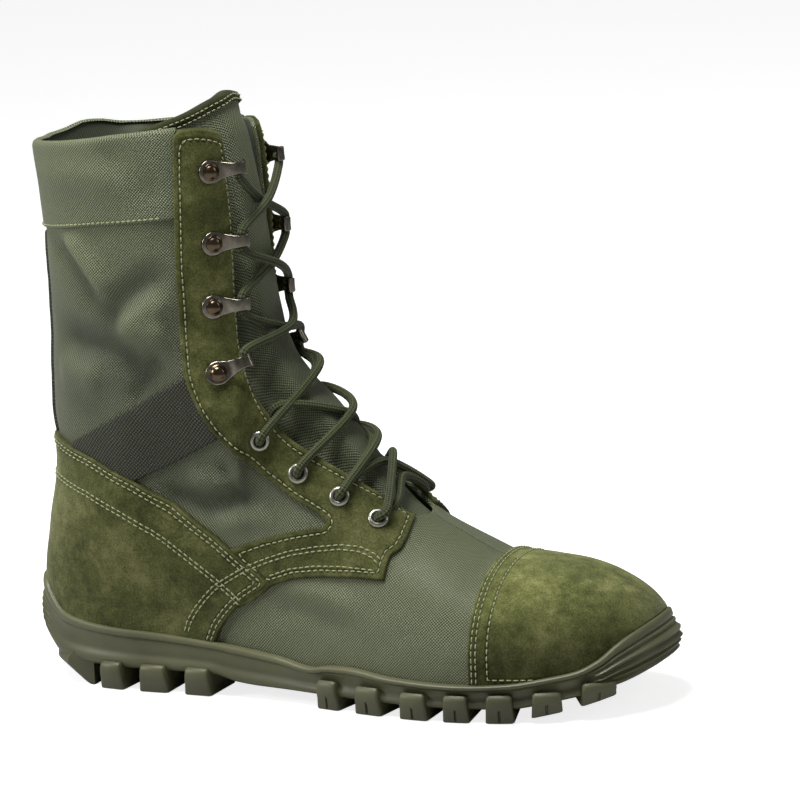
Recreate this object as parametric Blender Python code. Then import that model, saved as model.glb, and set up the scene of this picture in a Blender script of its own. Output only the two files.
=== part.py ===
# Jungle boot, right foot: suede and nylon upper on a one-piece moulded lug sole.
# Lengths in this file are millimetres until a mesh is made. X runs from the back of the
# sole to the toe, Y from the outer (lateral) side at minus to the inner (medial) side at
# plus, and Z up from the floor.

import math

import bmesh
import bpy
import numpy as np
from mathutils import Matrix, Quaternion, Vector
from mathutils.bvhtree import BVHTree

MM = 0.001

# Driving sizes
TOE_TIP = 294.0           # x of the sole's toe tip
HEEL_CENTRE = 69.0        # x of the origin, under the heel's middle lug
RUBBER_WALL = 3.4         # sole wall outside the upper
UPPER_TIP = TOE_TIP - RUBBER_WALL
WALL = 2.4                # fabric, foam and lining
GAP = 0.3                 # between pieces that touch
FLOOR_GAP = 0.8           # under the upper's lower edge
CUP_GAP = 0.45            # between the upper and the wall of the sole
SUEDE = 1.5
WEBBING = 1.2
BAND = 0.9
TONGUE_PAD = 5.0
INSOLE_PAD = 3.5
INSOLE_LIFT = 1.3
INSOLE_INSET = WALL + 0.9
TOE_SHIFT = 7.0           # the toe's swing to the inner side
SHIFT_START = 150.0
WIDEST = 25.0             # height of the fullest line of the foot
TOE_POWER = 2.35          # bluntness of the toe in plan
DOME_POWER = 2.15         # fullness of a cross-section
HEEL_ROUND = 58.0         # length of the heel's rounding in plan
FRONT_ROUND = 37.0        # and of the shaft's front
SIDE_REACH = 95.0         # half length of the cutters across the boot
SIDES = (("lateral", -1), ("medial", 1))

# Half widths of the sole in plan, outside the toe's rounding: x, outer, inner
PLAN = [
    (0, 34.0, 33.5),
    (65, 34.0, 33.5),
    (97, 35.0, 31.8),
    (130, 38.0, 32.0),
    (150, 42.0, 35.5),
    (170, 46.5, 40.5),
    (190, 50.3, 45.0),
    (205, 52.0, 46.8),
    (215, 52.2, 47.2),
    (303, 52.2, 47.2),
]
TOE_START = {-1: 205.0, 1: 215.0}

# The back of the boot in side view: height, x
BACK_LINE = [
    (0, 5.8),
    (26, 5.8),
    (42, 6.9),
    (53, 8.2),
    (70, 11.4),
    (100, 16.6),
    (121, 15.0),
    (166, 17.0),
    (200, 17.0),
    (236, 14.2),
    (260, 12.0),
]
# Half width of the leg: height, outer and inner alike
LEG_WIDTH = [
    (25, 31.5),
    (60, 33.0),
    (100, 34.0),
    (150, 37.0),
    (200, 39.5),
    (260, 41.0),
]
# The closed front of the form in side view, from the collar to the toe: x, height
RIDGE_LINE = [
    (90, 420.0),
    (108, 262.0),
    (113.5, 240.0),
    (115.5, 205.0),
    (116.5, 172.0),
    (118.5, 156.0),
    (121, 147.5),
    (125, 140.5),
    (130.5, 134.5),
    (141, 125.5),
    (152, 115.0),
    (169, 97.5),
    (184, 82.5),
    (192, 76.0),
    (202, 70.5),
    (212, 65.0),
    (220, 61.2),
    (228, 59.6),
    (237, 58.9),
    (246, 57.8),
    (255, 56.3),
    (262.5, 54.1),
    (269.5, 51.0),
    (275.5, 47.6),
    (281.5, 42.8),
    (285.5, 38.0),
    (288.5, 32.0),
    (290.6, 24.0),
]
# Underside of the sole between lugs, floor of its cup, and top edge of its wall: x, height
UNDERSIDE = [
    (2, 19.0),
    (8, 14.5),
    (15, 11.5),
    (30, 10.0),
    (97, 9.5),
    (108, 7.0),
    (120, 6.0),
    (150, 5.5),
    (235, 5.5),
    (259, 9.0),
    (272, 11.5),
    (281, 13.5),
    (294, 19.0),
]
CUP_FLOOR = [
    (0, 24.0),
    (60, 22.0),
    (110, 17.0),
    (150, 13.5),
    (235, 12.0),
    (262, 14.0),
    (303, 21.5),
]
RIM_LINE = [
    (2, 46.0),
    (10, 44.0),
    (16, 38.0),
    (25, 31.5),
    (44, 28.5),
    (69, 27.0),
    (98, 24.5),
    (130, 20.5),
    (148, 17.5),
    (155, 19.0),
    (166, 19.5),
    (187, 17.3),
    (218, 16.2),
    (237, 17.0),
    (252, 19.2),
    (264, 21.5),
    (272, 25.5),
    (278, 31.0),
    (285, 36.0),
    (294, 40.0),
]
# Ribs of the upper run from its lower edge to its opening: station, share of the half
# outline from toe to heel, the opening's x, half gap and height, then the x and height
# of the point on the centre plane that the opening is seen from
RIBS = [
    (0, 0.000, 190.0, 0.0, 78.0, 190.0, 40.0),
    (3, 0.100, 189.0, 6.0, 78.0, 189.0, 40.0),
    (6, 0.205, 185.0, 13.5, 79.8, 183.0, 42.0),
    (9, 0.310, 172.0, 17.5, 90.0, 169.0, 50.0),
    (12, 0.420, 149.0, 21.0, 104.0, 140.0, 66.0),
    (14, 0.500, 131.5, 23.5, 117.0, 112.0, 90.0),
    (16, 0.570, 117.5, 25.0, 137.0, 85.0, 122.0),
    (18, 0.640, 113.0, 21.5, 170.0, 68.0, 166.0),
    (20, 0.710, 111.8, 20.0, 215.0, 65.0, 214.0),
    (22, 0.780, 108.5, 20.0, 245.5, 65.0, 245.0),
    (23, 0.815, 95.0, 33.0, 245.2, 65.0, 244.5),
    (25, 0.890, 52.0, 41.0, 240.5, 62.0, 240.0),
    (27, 0.965, 20.0, 22.0, 237.0, 58.0, 236.5),
    (28, 1.000, 13.2, 0.0, 236.0, 58.0, 236.0),
]
HALF_STATIONS = 28
ROWS = 11
LOW_EYE_X = 62.0          # the lower edge is seen from this line at the heel
HIGH_EYE_X = 215.0        # and from this one at the toe
RIB_TURN = 2.5            # above 1 the ribs turn to the throat late, near its edge

# Panels in side view: x, height
COUNTER_OUTLINE = [
    (-30, 110.5),
    (14, 110.0),
    (24, 108.5),
    (43, 103.5),
    (65, 94.0),
    (83, 84.5),
    (102, 71.5),
    (117, 59.5),
    (127.5, 51.8),
    (123.7, 49.0),
    (116.5, 44.5),
    (110.8, 40.0),
    (106.2, 35.2),
    (102.5, 30.5),
    (99.5, 24.0),
    (99.0, -10.0),
    (-30, -10.0),
]
EYESTAY_OUTLINE = [
    (94.5, 270.0),
    (93.2, 215.0),
    (92.2, 187.0),
    (92.2, 157.0),
    (93.0, 142.0),
    (95.6, 133.5),
    (99.0, 125.0),
    (104.5, 116.0),
    (114.5, 105.5),
    (124.0, 97.0),
    (137.0, 88.0),
    (151.5, 80.2),
    (153.3, 78.4),
    (152.0, 76.6),
    (146.0, 75.8),
    (137.3, 74.2),
    (124.2, 70.8),
    (112.6, 66.9),
    (90.0, 60.0),
    (90.0, 30.0),
    (118.0, 43.0),
    (129.0, 51.0),
    (140.0, 54.6),
    (152.0, 56.2),
    (166.8, 56.8),
    (182.2, 56.4),
    (182.4, 62.0),
    (183.2, 65.6),
    (186.6, 68.0),
    (187.3, 72.0),
    (187.0, 76.0),
    (184.0, 90.0),
    (150.0, 270.0),
]
WEB_OUTLINE = [
    (120.0, 153.5),
    (94.0, 141.0),
    (60.0, 122.8),
    (32.0, 108.0),
    (20.0, 90.0),
    (64.0, 93.0),
    (84.0, 102.0),
    (106.0, 113.5),
    (130.0, 125.0),
]
COLLAR_OUTLINE = [
    (-30, 199.0),
    (10, 199.5),
    (23, 201.2),
    (57, 205.5),
    (92, 208.5),
    (150, 212.0),
    (150, 280.0),
    (-30, 280.0),
]
CAP_SEAM = [
    (220.8, 120.0),
    (221.6, 50.0),
    (221.2, 10.0),
    (340.0, 10.0),
    (340.0, 120.0),
]
STAY_HALF_WIDTH = 9.0
STAY_BOTTOM = 111.0
STAY_TOP = 198.3

# Lace holes on the outer side: x, y, z; hooks the same, with the rise of the arm
EYELETS = [
    (175.4, -25.2, 80.4),
    (158.2, -25.6, 89.8),
    (140.2, -26.4, 99.7),
    (123.2, -27.3, 114.0),
]
HOOKS = [
    (108.5, -32.4, 141.5, 4.2),
    (106.0, -29.3, 170.2, 0.5),
    (106.7, -28.3, 197.2, 0.8),
    (106.3, -27.3, 227.6, 1.2),
]
EYELET_FLANGE = 4.5
EYELET_HOLE = 2.3
EYELET_BARREL = 2.8
HOOK_PLATE = 1.1
HOOK_BASE = 5.4
RIVET_RADIUS = 3.7
LACE_RADIUS = 1.7

# Hook plate: distance along the arm, half width, lift of its underside
HOOK_ROWS = [
    (-5.4, 1.2, 0.0),
    (-4.0, 3.7, 0.0),
    (-1.0, 5.4, 0.0),
    (2.0, 5.1, 0.0),
    (4.2, 4.1, 0.0),
    (6.2, 3.3, 1.6),
    (8.6, 2.8, 3.9),
    (11.2, 2.6, 4.5),
    (13.5, 2.9, 4.5),
    (15.0, 3.2, 3.4),
    (15.7, 3.1, 2.2),
]

# Edge lugs, the same on both sides: x of the back and front face, height of the side face
HEEL_LUGS = [
    (43.0, 54.5, 12.5),
    (62.0, 76.0, 12.5),
    (84.0, 97.0, 12.5),
]
FORE_LUGS = [
    (150.5, 161.5, 13.0),
    (169.5, 182.5, 12.5),
    (191.0, 204.0, 12.0),
    (210.5, 222.0, 12.0),
    (228.5, 240.5, 12.5),
    (247.0, 259.0, 13.5),
    (265.5, 277.5, 16.5),
]
LUG_DEPTH = 23.0
LUG_STEP = 1.7
LUG_TAPER = 0.028         # each end leans in, per millimetre of height and of half length
# Lowest line of the tread: x, height; the stretches at zero stand on the floor
TREAD = [
    (2, 16.0),
    (14, 9.0),
    (22, 4.5),
    (30, 0.0),
    (238, 0.0),
    (247, 2.2),
    (259, 4.6),
    (275, 9.0),
    (286, 13.5),
    (294, 19.0),
]
# Side of the sole from its lower edge to its rim: share of the height, then how far it
# stands out at the sides, at the back of the heel and at the toe bumper
SIDE_ROWS = [
    (0.00, -1.6, -7.0, -3.0),
    (0.16, -0.8, -2.4, -0.2),
    (0.30, -0.9, -0.6, -0.9),
    (0.42, -1.1, 0.8, 0.9),
    (0.55, -1.2, -0.4, -0.4),
    (0.68, -0.9, 0.8, 1.1),
    (0.78, -1.2, -0.6, -0.4),
    (0.86, 0.3, 0.3, 0.6),
    (0.95, 0.6, 0.4, 0.4),
    (1.00, -0.6, -0.6, -0.6),
]

# Tongue: x and height of the viewing point, tilt of the view, half spread in degrees,
# how far its middle stands out from the closed form
TONGUE_ROWS = [
    (184.0, 42.0, 90.0, 26.0, -4.3),
    (172.0, 50.0, 84.0, 27.0, -3.4),
    (155.0, 58.0, 72.0, 28.0, -1.4),
    (135.0, 74.0, 58.0, 32.0, 0.8),
    (108.0, 96.0, 42.0, 37.0, 2.6),
    (85.0, 122.0, 22.0, 43.0, 4.0),
    (68.0, 150.0, 6.0, 49.0, 4.2),
    (65.0, 180.0, 0.0, 54.0, 2.6),
    (64.0, 210.0, 0.0, 60.0, 0.0),
    (63.0, 241.0, 0.0, 67.0, -3.0),
    (62.0, 250.0, 0.0, 70.0, -4.2),
]
TONGUE_RISE = 8.5         # of the top edge's middle over its last row
TONGUE_DROP = 15.0        # of the top edge's ends below its middle
TONGUE_COLUMNS = 10
TONGUE_EDGE = -WALL - 3.4
TONGUE_TUCK = 2.2         # more at its top, where the binding is
CROWN_HALF = 19.0         # the middle stands out between the facings
CROWN_SLOPE = 11.0
BINDING = 1.0


def curve_through(rows, column=1):
    """A smooth, unwavering curve through two columns of a table, level past its ends."""
    at = np.array([row[0] for row in rows], float)
    value = np.array([row[column] for row in rows], float)
    step = np.diff(at)
    grade = np.diff(value) / step
    same_way = grade[:-1] * grade[1:] > 0
    total = np.where(same_way, grade[:-1] + grade[1:], 1.0)
    slope = np.zeros_like(value)
    slope[1:-1] = np.where(same_way, 2 * grade[:-1] * grade[1:] / total, 0.0)
    slope[0] = grade[0]
    slope[-1] = grade[-1]

    def read(where):
        where = np.clip(where, at[0], at[-1])
        k = np.clip(np.searchsorted(at, where, side="right") - 1, 0, len(step) - 1)
        t = (where - at[k]) / step[k]
        bend_in = step[k] * slope[k]
        bend_out = step[k] * slope[k + 1]
        rise = value[k + 1] - value[k]
        return value[k] + t * (bend_in + t * (3 * rise - 2 * bend_in - bend_out
                                              + t * (bend_in + bend_out - 2 * rise)))

    return read


def eased(t):
    """Zero below 0, one above 1, smooth between."""
    t = np.clip(t, 0.0, 1.0)
    return t * t * (3 - 2 * t)


plan_outer = curve_through(PLAN, 1)
plan_inner = curve_through(PLAN, 2)
back_line = curve_through(BACK_LINE)
leg_width = curve_through(LEG_WIDTH)
ridge_line = curve_through(RIDGE_LINE)
front_line = curve_through([(z, x) for x, z in RIDGE_LINE if x < 190][::-1])
underside = curve_through(UNDERSIDE)
cup_floor = curve_through(CUP_FLOOR)
rim_line = curve_through(RIM_LINE)
tread_line = curve_through(TREAD)


def centre_line(x):
    """The foot's own middle, which swings to the inner side at the toe."""
    reach = np.clip((x - SHIFT_START) / (TOE_TIP - SHIFT_START), 0, 1)
    return TOE_SHIFT * reach ** 2


def form_half_width(x, z, side):
    """Half width of the upper's outer surface, seen from the side at x and z."""
    outer = side < 0
    plan = np.where(outer, plan_outer(x), plan_inner(x)) - RUBBER_WALL
    start = np.where(outer, TOE_START[-1], TOE_START[1])
    toe = np.clip((x - start) / (UPPER_TIP - start), 0, 1)
    foot = plan * (1 - toe ** TOE_POWER) ** (1 / TOE_POWER)
    up = eased((z - 35) / 75) * (1 - eased((x - 150) / 70))
    width = foot * (1 - up) + leg_width(z) * up
    heel = np.clip(1 - (x - back_line(z)) / HEEL_ROUND, 0, 1)
    width = width * np.sqrt(1 - heel ** 2)
    rise = np.clip((z - WIDEST) / np.maximum(ridge_line(x) - WIDEST, 0.01), 0, 1)
    dome = (1 - rise ** DOME_POWER) ** (1 / DOME_POWER)
    ahead = np.clip(1 - (front_line(z) - x) / FRONT_ROUND, 0, 1)
    leg = np.sqrt(1 - ahead ** 2)
    into_leg = eased((z - 105) / 40)
    return width * (dome * (1 - into_leg) + leg * into_leg)


def fullness(p):
    """Above zero inside the form, below zero outside."""
    x, y, z = p[..., 0], p[..., 1], p[..., 2]
    across = y - centre_line(x)
    side = np.where(across < 0, -1, 1)
    return form_half_width(x, z, side) ** 2 - across ** 2


def reach_surface(eye, aim, far=160.0):
    """Where rays from points inside the form leave it, and the normals there."""
    ray = aim - eye
    ray = ray / np.linalg.norm(ray, axis=-1, keepdims=True)
    near = np.zeros(ray.shape[:-1])
    out = np.full(ray.shape[:-1], far)
    for _ in range(40):
        middle = (near + out) / 2
        inside = fullness(eye + ray * middle[..., None]) > 0
        near = np.where(inside, middle, near)
        out = np.where(inside, out, middle)
    surface = eye + ray * near[..., None]
    probe = surface - ray * 0.35
    slope = np.zeros_like(surface)
    for axis in range(3):
        nudge = np.zeros(3)
        nudge[axis] = 0.3
        slope[..., axis] = fullness(probe - nudge) - fullness(probe + nudge)
    return surface, slope / np.linalg.norm(slope, axis=-1, keepdims=True)


def half_outline(side, count=241):
    """The upper's lower edge in plan, from the toe tip back to the heel."""
    turn = np.linspace(0, 1, count)
    x = UPPER_TIP - (UPPER_TIP - float(back_line(20))) * (1 - np.cos(math.pi * turn)) / 2
    y = centre_line(x) + side * form_half_width(x, np.full(count, 20.0), side)
    y[0] = centre_line(UPPER_TIP)
    y[-1] = 0.0
    run = np.concatenate([[0], np.cumsum(np.hypot(np.diff(x), np.diff(y)))])
    return x, y, run / run[-1]


def skin_grid(rows=ROWS, half=HALF_STATIONS, dense=90):
    """Points and normals of the outer surface: lower edge, rim line, then up to the opening."""
    table = [curve_through(RIBS, k) for k in range(1, 7)]
    place = np.linspace(0, HALF_STATIONS, half + 1)
    share, open_x, gap, open_z, eye_x, eye_z = [column(place) for column in table]
    halves = []
    for _, side in SIDES:
        x, y, run = half_outline(side)
        low_x = np.interp(share, run, x)
        low_y = np.interp(share, run, y)
        low = np.stack([low_x, low_y, cup_floor(low_x) + FLOOR_GAP], -1)
        low_eye_x = np.clip(low_x, LOW_EYE_X, HIGH_EYE_X)
        low_eye = np.stack([low_eye_x, centre_line(low_eye_x), low[:, 2]], -1)
        high = np.stack([open_x, side * gap, open_z], -1)
        high_eye = np.stack([eye_x, 0 * eye_x, eye_z], -1)
        height = np.linspace(0, 1, dense)[:, None, None]
        v = np.concatenate([height ** RIB_TURN, height ** RIB_TURN, height], -1)
        points, normals = reach_surface(low_eye * (1 - v) + high_eye * v, low * (1 - v) + high * v)
        resampled = np.empty((2, rows + 1, half + 1, 3))
        for j in range(half + 1):
            rib = points[:, j]
            length = np.concatenate([[0], np.cumsum(np.linalg.norm(np.diff(rib, axis=0), axis=1))])
            above = rib[:, 2] - rim_line(rib[:, 0])
            k = int(np.argmax(above > 0))
            t = above[k - 1] / (above[k - 1] - above[k])
            rim = length[k - 1] + t * (length[k] - length[k - 1])
            stops = np.concatenate([[0], np.linspace(rim, length[-1], rows)])
            for axis in range(3):
                resampled[0, :, j, axis] = np.interp(stops, length, rib[:, axis])
                resampled[1, :, j, axis] = np.interp(stops, length, normals[:, j, axis])
        halves.append(resampled)
    outer, inner = halves
    grid, normals = np.concatenate([outer, inner[:, :, -2:0:-1]], axis=2)
    for _ in range(2):
        normals = normals * 2 + np.roll(normals, 1, 1) + np.roll(normals, -1, 1)
        normals[1:-1] = normals[1:-1] * 2 + normals[2:] + normals[:-2]
        normals[0, :, 2] = 0.0
        normals /= np.linalg.norm(normals, axis=-1, keepdims=True)
    return grid, normals


SKIN, SKIN_NORMAL = skin_grid()
STATIONS = SKIN.shape[1]
# Each four-cornered cell of the skin is split along its shorter diagonal
ACROSS = np.roll(SKIN, -1, 1)
SPLIT = np.linalg.norm(SKIN[:-1] - ACROSS[1:], axis=-1) > np.linalg.norm(ACROSS[:-1] - SKIN[1:], axis=-1)


def to_world(point):
    return Vector(((float(point[0]) - HEEL_CENTRE) * MM, float(point[1]) * MM, float(point[2]) * MM))


def material(name, colour, roughness, metallic=0.0):
    finish = bpy.data.materials.new(name)
    finish.use_nodes = True
    shader = finish.node_tree.nodes["Principled BSDF"]
    shader.inputs["Base Color"].default_value = (*colour, 1.0)
    shader.inputs["Roughness"].default_value = roughness
    shader.inputs["Metallic"].default_value = metallic
    return finish


def put(name, points, faces, finish, smooth=True):
    """An object from points in millimetres and faces, with its normals facing out."""
    mesh = bpy.data.meshes.new(name)
    mesh.from_pydata([to_world(p) for p in points], [], [tuple(f) for f in faces])
    work = bmesh.new()
    work.from_mesh(mesh)
    bmesh.ops.remove_doubles(work, verts=work.verts, dist=1e-6)
    bmesh.ops.recalc_face_normals(work, faces=work.faces)
    work.to_mesh(mesh)
    work.free()
    if finish:
        mesh.materials.append(finish)
    if smooth:
        mesh.shade_smooth()
        mesh.set_sharp_from_angle(angle=math.radians(40))
    item = bpy.data.objects.new(name, mesh)
    bpy.context.scene.collection.objects.link(item)
    return item


def split(a, b, c, d, turned=False):
    """Two triangles for a four-cornered face."""
    return [(a, b, d), (b, c, d)] if turned else [(a, b, c), (a, c, d)]


def ring_faces(low, high, count, turned=None):
    """Triangles between two closed rings of the same count, given their first indices."""
    faces = []
    for j in range(count):
        n = (j + 1) % count
        faces += split(low + j, low + n, high + n, high + j, turned is not None and turned[j])
    return faces


def shell(name, inside, outside, finish):
    """A closed wall between two offsets of the skin, open at the foot and at the top."""
    points = []
    for offset in (inside, outside):
        points.extend((SKIN + SKIN_NORMAL * offset).reshape(-1, 3))
    count = len(SKIN)
    faces = []
    for layer in (0, count):
        for i in range(count - 1):
            faces += ring_faces((layer + i) * STATIONS, (layer + i + 1) * STATIONS, STATIONS, SPLIT[i])
    faces += ring_faces(0, count * STATIONS, STATIONS)
    faces += ring_faces((count - 1) * STATIONS, (2 * count - 1) * STATIONS, STATIONS)
    return put(name, points, faces, finish)


def slab(name, outer, inner, finish, turned=None):
    """A closed sheet between two open grids of the same size."""
    rows, columns = outer.shape[:2]
    points = list(outer.reshape(-1, 3)) + list(inner.reshape(-1, 3))
    back = rows * columns
    faces = []
    for i in range(rows - 1):
        for j in range(columns - 1):
            a = i * columns + j
            for face in split(a, a + 1, a + columns + 1, a + columns,
                              turned is not None and turned[i, j]):
                faces.append(face)
                faces.append(tuple(back + q for q in reversed(face)))
    edge = list(range(columns))
    edge += [i * columns + columns - 1 for i in range(1, rows)]
    edge += [(rows - 1) * columns + j for j in reversed(range(columns - 1))]
    edge += [i * columns for i in reversed(range(1, rows - 1))]
    faces += [(a, b, back + b, back + a) for a, b in zip(edge, edge[1:] + edge[:1])]
    return put(name, points, faces, finish)


def prism(name, outline, y_low, y_high):
    """A cutter: an outline in side view, drawn out along Y."""
    count = len(outline)
    points = [(x, y_low, z) for x, z in outline] + [(x, y_high, z) for x, z in outline]
    faces = [tuple(range(count)), tuple(range(2 * count - 1, count - 1, -1))]
    faces += ring_faces(0, count, count)
    return cutter(put(name, points, faces, None, smooth=False))


def cutter(item):
    item.hide_render = True
    item.display_type = "WIRE"
    return item


def cut(item, tool, operation="DIFFERENCE", solver="EXACT"):
    step = item.modifiers.new(operation.title(), "BOOLEAN")
    step.operation = operation
    step.object = tool
    step.solver = solver


def grown(outline, distance):
    """An outline moved out by a distance, corner by corner."""
    corners = np.array(outline, float)
    ahead = np.roll(corners, -1, 0) - corners
    ahead /= np.linalg.norm(ahead, axis=1, keepdims=True)
    behind = np.roll(ahead, 1, 0)
    area = np.sum(corners[:, 0] * np.roll(corners[:, 1], -1) - np.roll(corners[:, 0], -1) * corners[:, 1])
    turn = 1 if area > 0 else -1
    out = np.stack([ahead[:, 1] + behind[:, 1], -ahead[:, 0] - behind[:, 0]], -1)
    out /= np.linalg.norm(out, axis=1, keepdims=True)
    square = np.maximum(out[:, 0] * ahead[:, 1] - out[:, 1] * ahead[:, 0], 0.4)
    return [tuple(p) for p in corners + turn * out * (distance / square)[:, None]]


def lathe(name, profile, sides, finish, place):
    """A closed ring or button turned from (radius, height) points about its own axis."""
    points = []
    faces = []
    loops = []
    for radius, height in profile:
        first = len(points)
        if radius == 0:
            points.append((0, 0, height))
            loops.append([first] * sides)
            continue
        for k in range(sides):
            angle = 2 * math.pi * k / sides
            points.append((radius * math.cos(angle), radius * math.sin(angle), height))
        loops.append(list(range(first, first + sides)))
    closed = profile[0][0] > 0
    pairs = list(zip(loops, loops[1:] + loops[:1])) if closed else list(zip(loops, loops[1:]))
    for a, b in pairs:
        for k in range(sides):
            n = (k + 1) % sides
            corners = [a[k], a[n], b[n], b[k]]
            faces.append(list(dict.fromkeys(corners)))
    return put(name, [place @ Vector(p) for p in points], faces, finish)


def on_skin(x, y, z):
    """The point and normal of the form beside a measured point, seen from the leg's middle."""
    eye = np.array([[min(x - 14.0, 150.0) if z < 130 else 66.0, 0.0, z - 30.0 if z < 130 else z]])
    point, normal = reach_surface(eye, np.array([[x, y, z]]))
    return Vector(point[0]), Vector(normal[0])


def frame_at(point, normal, along):
    """A placing matrix with Z on the normal and X along a direction on the surface."""
    x_axis = (along - normal * along.dot(normal)).normalized()
    y_axis = normal.cross(x_axis)
    turn = Matrix((x_axis, y_axis, normal)).transposed().to_4x4()
    return Matrix.Translation(point) @ turn


# Start from an empty scene
for item in list(bpy.data.objects):
    bpy.data.objects.remove(item, do_unlink=True)

RUBBER = material("Moulded rubber", (0.105, 0.105, 0.052), 0.55)
SUEDE_LEATHER = material("Suede", (0.105, 0.125, 0.042), 0.9)
FABRIC = material("Nylon fabric", (0.11, 0.14, 0.075), 0.75)
STRAP = material("Nylon webbing", (0.06, 0.075, 0.03), 0.85)
LINING = material("Foam and felt", (0.09, 0.1, 0.06), 0.9)
CORD = material("Braided cord", (0.045, 0.065, 0.025), 0.8)
NICKEL = material("Dark nickel", (0.32, 0.31, 0.28), 0.3, 1.0)


def sole_body():
    """The moulded cup of the sole without its lugs."""
    low = SKIN[0]
    ahead = np.roll(low, -1, 0) - np.roll(low, 1, 0)
    out = np.stack([-ahead[:, 1], ahead[:, 0], 0 * ahead[:, 0]], -1)
    out /= np.linalg.norm(out, axis=1, keepdims=True)
    x = low[:, 0]
    at_heel = eased((20 - x) / 14)
    at_toe = eased((x - 270) / 6)
    rim = SKIN[1] + SKIN_NORMAL[1] * (SUEDE + 2 * GAP)
    bottom = underside(x)
    points = []
    for share, side, heel, toe in SIDE_ROWS:
        stand = side * (1 - at_heel - at_toe) + heel * at_heel + toe * at_toe
        ring = low + out * (RUBBER_WALL + stand)[:, None]
        ring[:, 2] = bottom + (SKIN[1, :, 2] - bottom) * share
        lean = rim + SKIN_NORMAL[1] * (1.3 + stand)[:, None]
        blend = eased((share - 0.45) / 0.5) * np.ones(len(x))
        ring[:, :2] = ring[:, :2] * (1 - blend)[:, None] + lean[:, :2] * blend[:, None]
        points.extend(ring)
    rings = len(SIDE_ROWS)
    points.extend(SKIN[1] + SKIN_NORMAL[1] * CUP_GAP)
    inner = SKIN[0] + SKIN_NORMAL[0] * CUP_GAP
    inner[:, 2] = cup_floor(x)
    points.extend(inner)
    faces = []
    for i in range(rings):
        faces += ring_faces(i * STATIONS, (i + 1) * STATIONS, STATIONS)
    faces += ring_faces((rings + 1) * STATIONS, rings * STATIONS, STATIONS, SPLIT[0])
    faces += across(points, 0, underside, 2)
    faces += across(points, (rings + 1) * STATIONS, cup_floor, 1)
    return put("sole", points, faces, RUBBER)


def across(points, first, height, inner_points):
    """Faces between the two sides of a ring, over new points at a given height."""
    half = STATIONS // 2
    lines = []
    for j in range(1, half):
        a = first + j
        b = first + STATIONS - j
        line = [a]
        for k in range(1, inner_points + 1):
            t = k / (inner_points + 1)
            p = np.array(points[a]) * (1 - t) + np.array(points[b]) * t
            p[2] = height(p[0])
            line.append(len(points))
            points.append(p)
        line.append(b)
        lines.append(line)
    faces = []
    for line, after in zip(lines, lines[1:]):
        for k in range(len(line) - 1):
            faces.append((line[k], line[k + 1], after[k + 1], after[k]))
    for line, end in ((lines[0], first), (lines[-1], first + half)):
        for k in range(len(line) - 1):
            faces.append((line[k], line[k + 1], end))
    return faces


def outline_at(x, side):
    """The sole's edge in plan at x, and its outward direction."""
    step = 0.5
    run = np.array([x - step, x, x + step])
    y = centre_line(run) + side * form_half_width(run, np.full(3, 20.0), side)
    along = Vector((2 * step, float(y[2] - y[0]), 0)).normalized()
    out = Vector((-along.y, along.x, 0)) * side
    return Vector((x, float(y[1]), 0)) + out * RUBBER_WALL, out


def lug_points(x_back, x_front, top, side):
    """One edge lug: a block that follows the edge and leans in at its foot."""
    points = []
    for x in (x_back, x_front):
        edge, out = outline_at(x, side)
        ground = float(tread_line(x))
        lean = Vector((LUG_TAPER * ((x_back + x_front) / 2 - x), 0, 0))
        section = [
            (-LUG_DEPTH, ground),
            (LUG_STEP - 1.2, ground),
            (LUG_STEP, ground + 0.7 * (top - ground)),
            (LUG_STEP - 0.5, ground + 0.92 * (top - ground)),
            (-2.6, min(top + 0.6, float(cup_floor(x)) - 1.0)),
            (-LUG_DEPTH + 3.0, float(underside(x)) + 2.0),
        ]
        for stand, height in section:
            p = edge + out * stand + lean * (height - ground)
            points.append((p.x, p.y, height))
    return points


def block_faces(first, sections, corners):
    faces = [tuple(first + k for k in range(corners))]
    faces.append(tuple(first + (sections - 1) * corners + k for k in reversed(range(corners))))
    for s in range(sections - 1):
        faces += ring_faces(first + s * corners, first + (s + 1) * corners, corners)
    return faces


def lugs():
    """All lugs of the tread as one cutter mesh of separate blocks."""
    points = []
    faces = []
    for _, side in SIDES:
        for x_back, x_front, top in HEEL_LUGS + FORE_LUGS:
            faces += block_faces(len(points), 2, 6)
            points += lug_points(x_back, x_front, top, side)
    # Rear lug across the back of the heel
    first = len(points)
    for y in (-27.0, -20.0, 0.0, 20.0, 27.0):
        back = 9.0 + 0.021 * y * y
        for x, z in ((back + 11, 0.0), (37.0, 0.0), (37.0, 12.5), (back + 3, 14.5), (back, 9.0)):
            points.append((x, y, z))
    faces += block_faces(first, 5, 5)
    # Middle lugs, one between each pair
    for x_back, x_front, _ in HEEL_LUGS[1:] + FORE_LUGS[:6]:
        first = len(points)
        middle = (x_back + x_front) / 2
        y = float(centre_line(middle))
        low = float(tread_line(middle))
        high = float(underside(middle)) + 2.0
        half = min(9.0, float(plan_inner(middle)) - LUG_DEPTH - 3.0)
        for width, reach in ((-half, 3.5), (0.0, 6.0), (half, 3.5)):
            for x, z in ((middle - reach, low), (middle + reach, low),
                         (middle + reach, high), (middle - reach, high)):
                points.append((x, y + width, z))
        faces += block_faces(first, 3, 4)
    return cutter(put("lug_blocks", points, faces, None, smooth=False))


sole = sole_body()
cut(sole, lugs(), "UNION")


def insole_under(x):
    return cup_floor(x) + INSOLE_LIFT


def insole_top(x):
    return cup_floor(x) + INSOLE_LIFT + INSOLE_PAD


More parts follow.
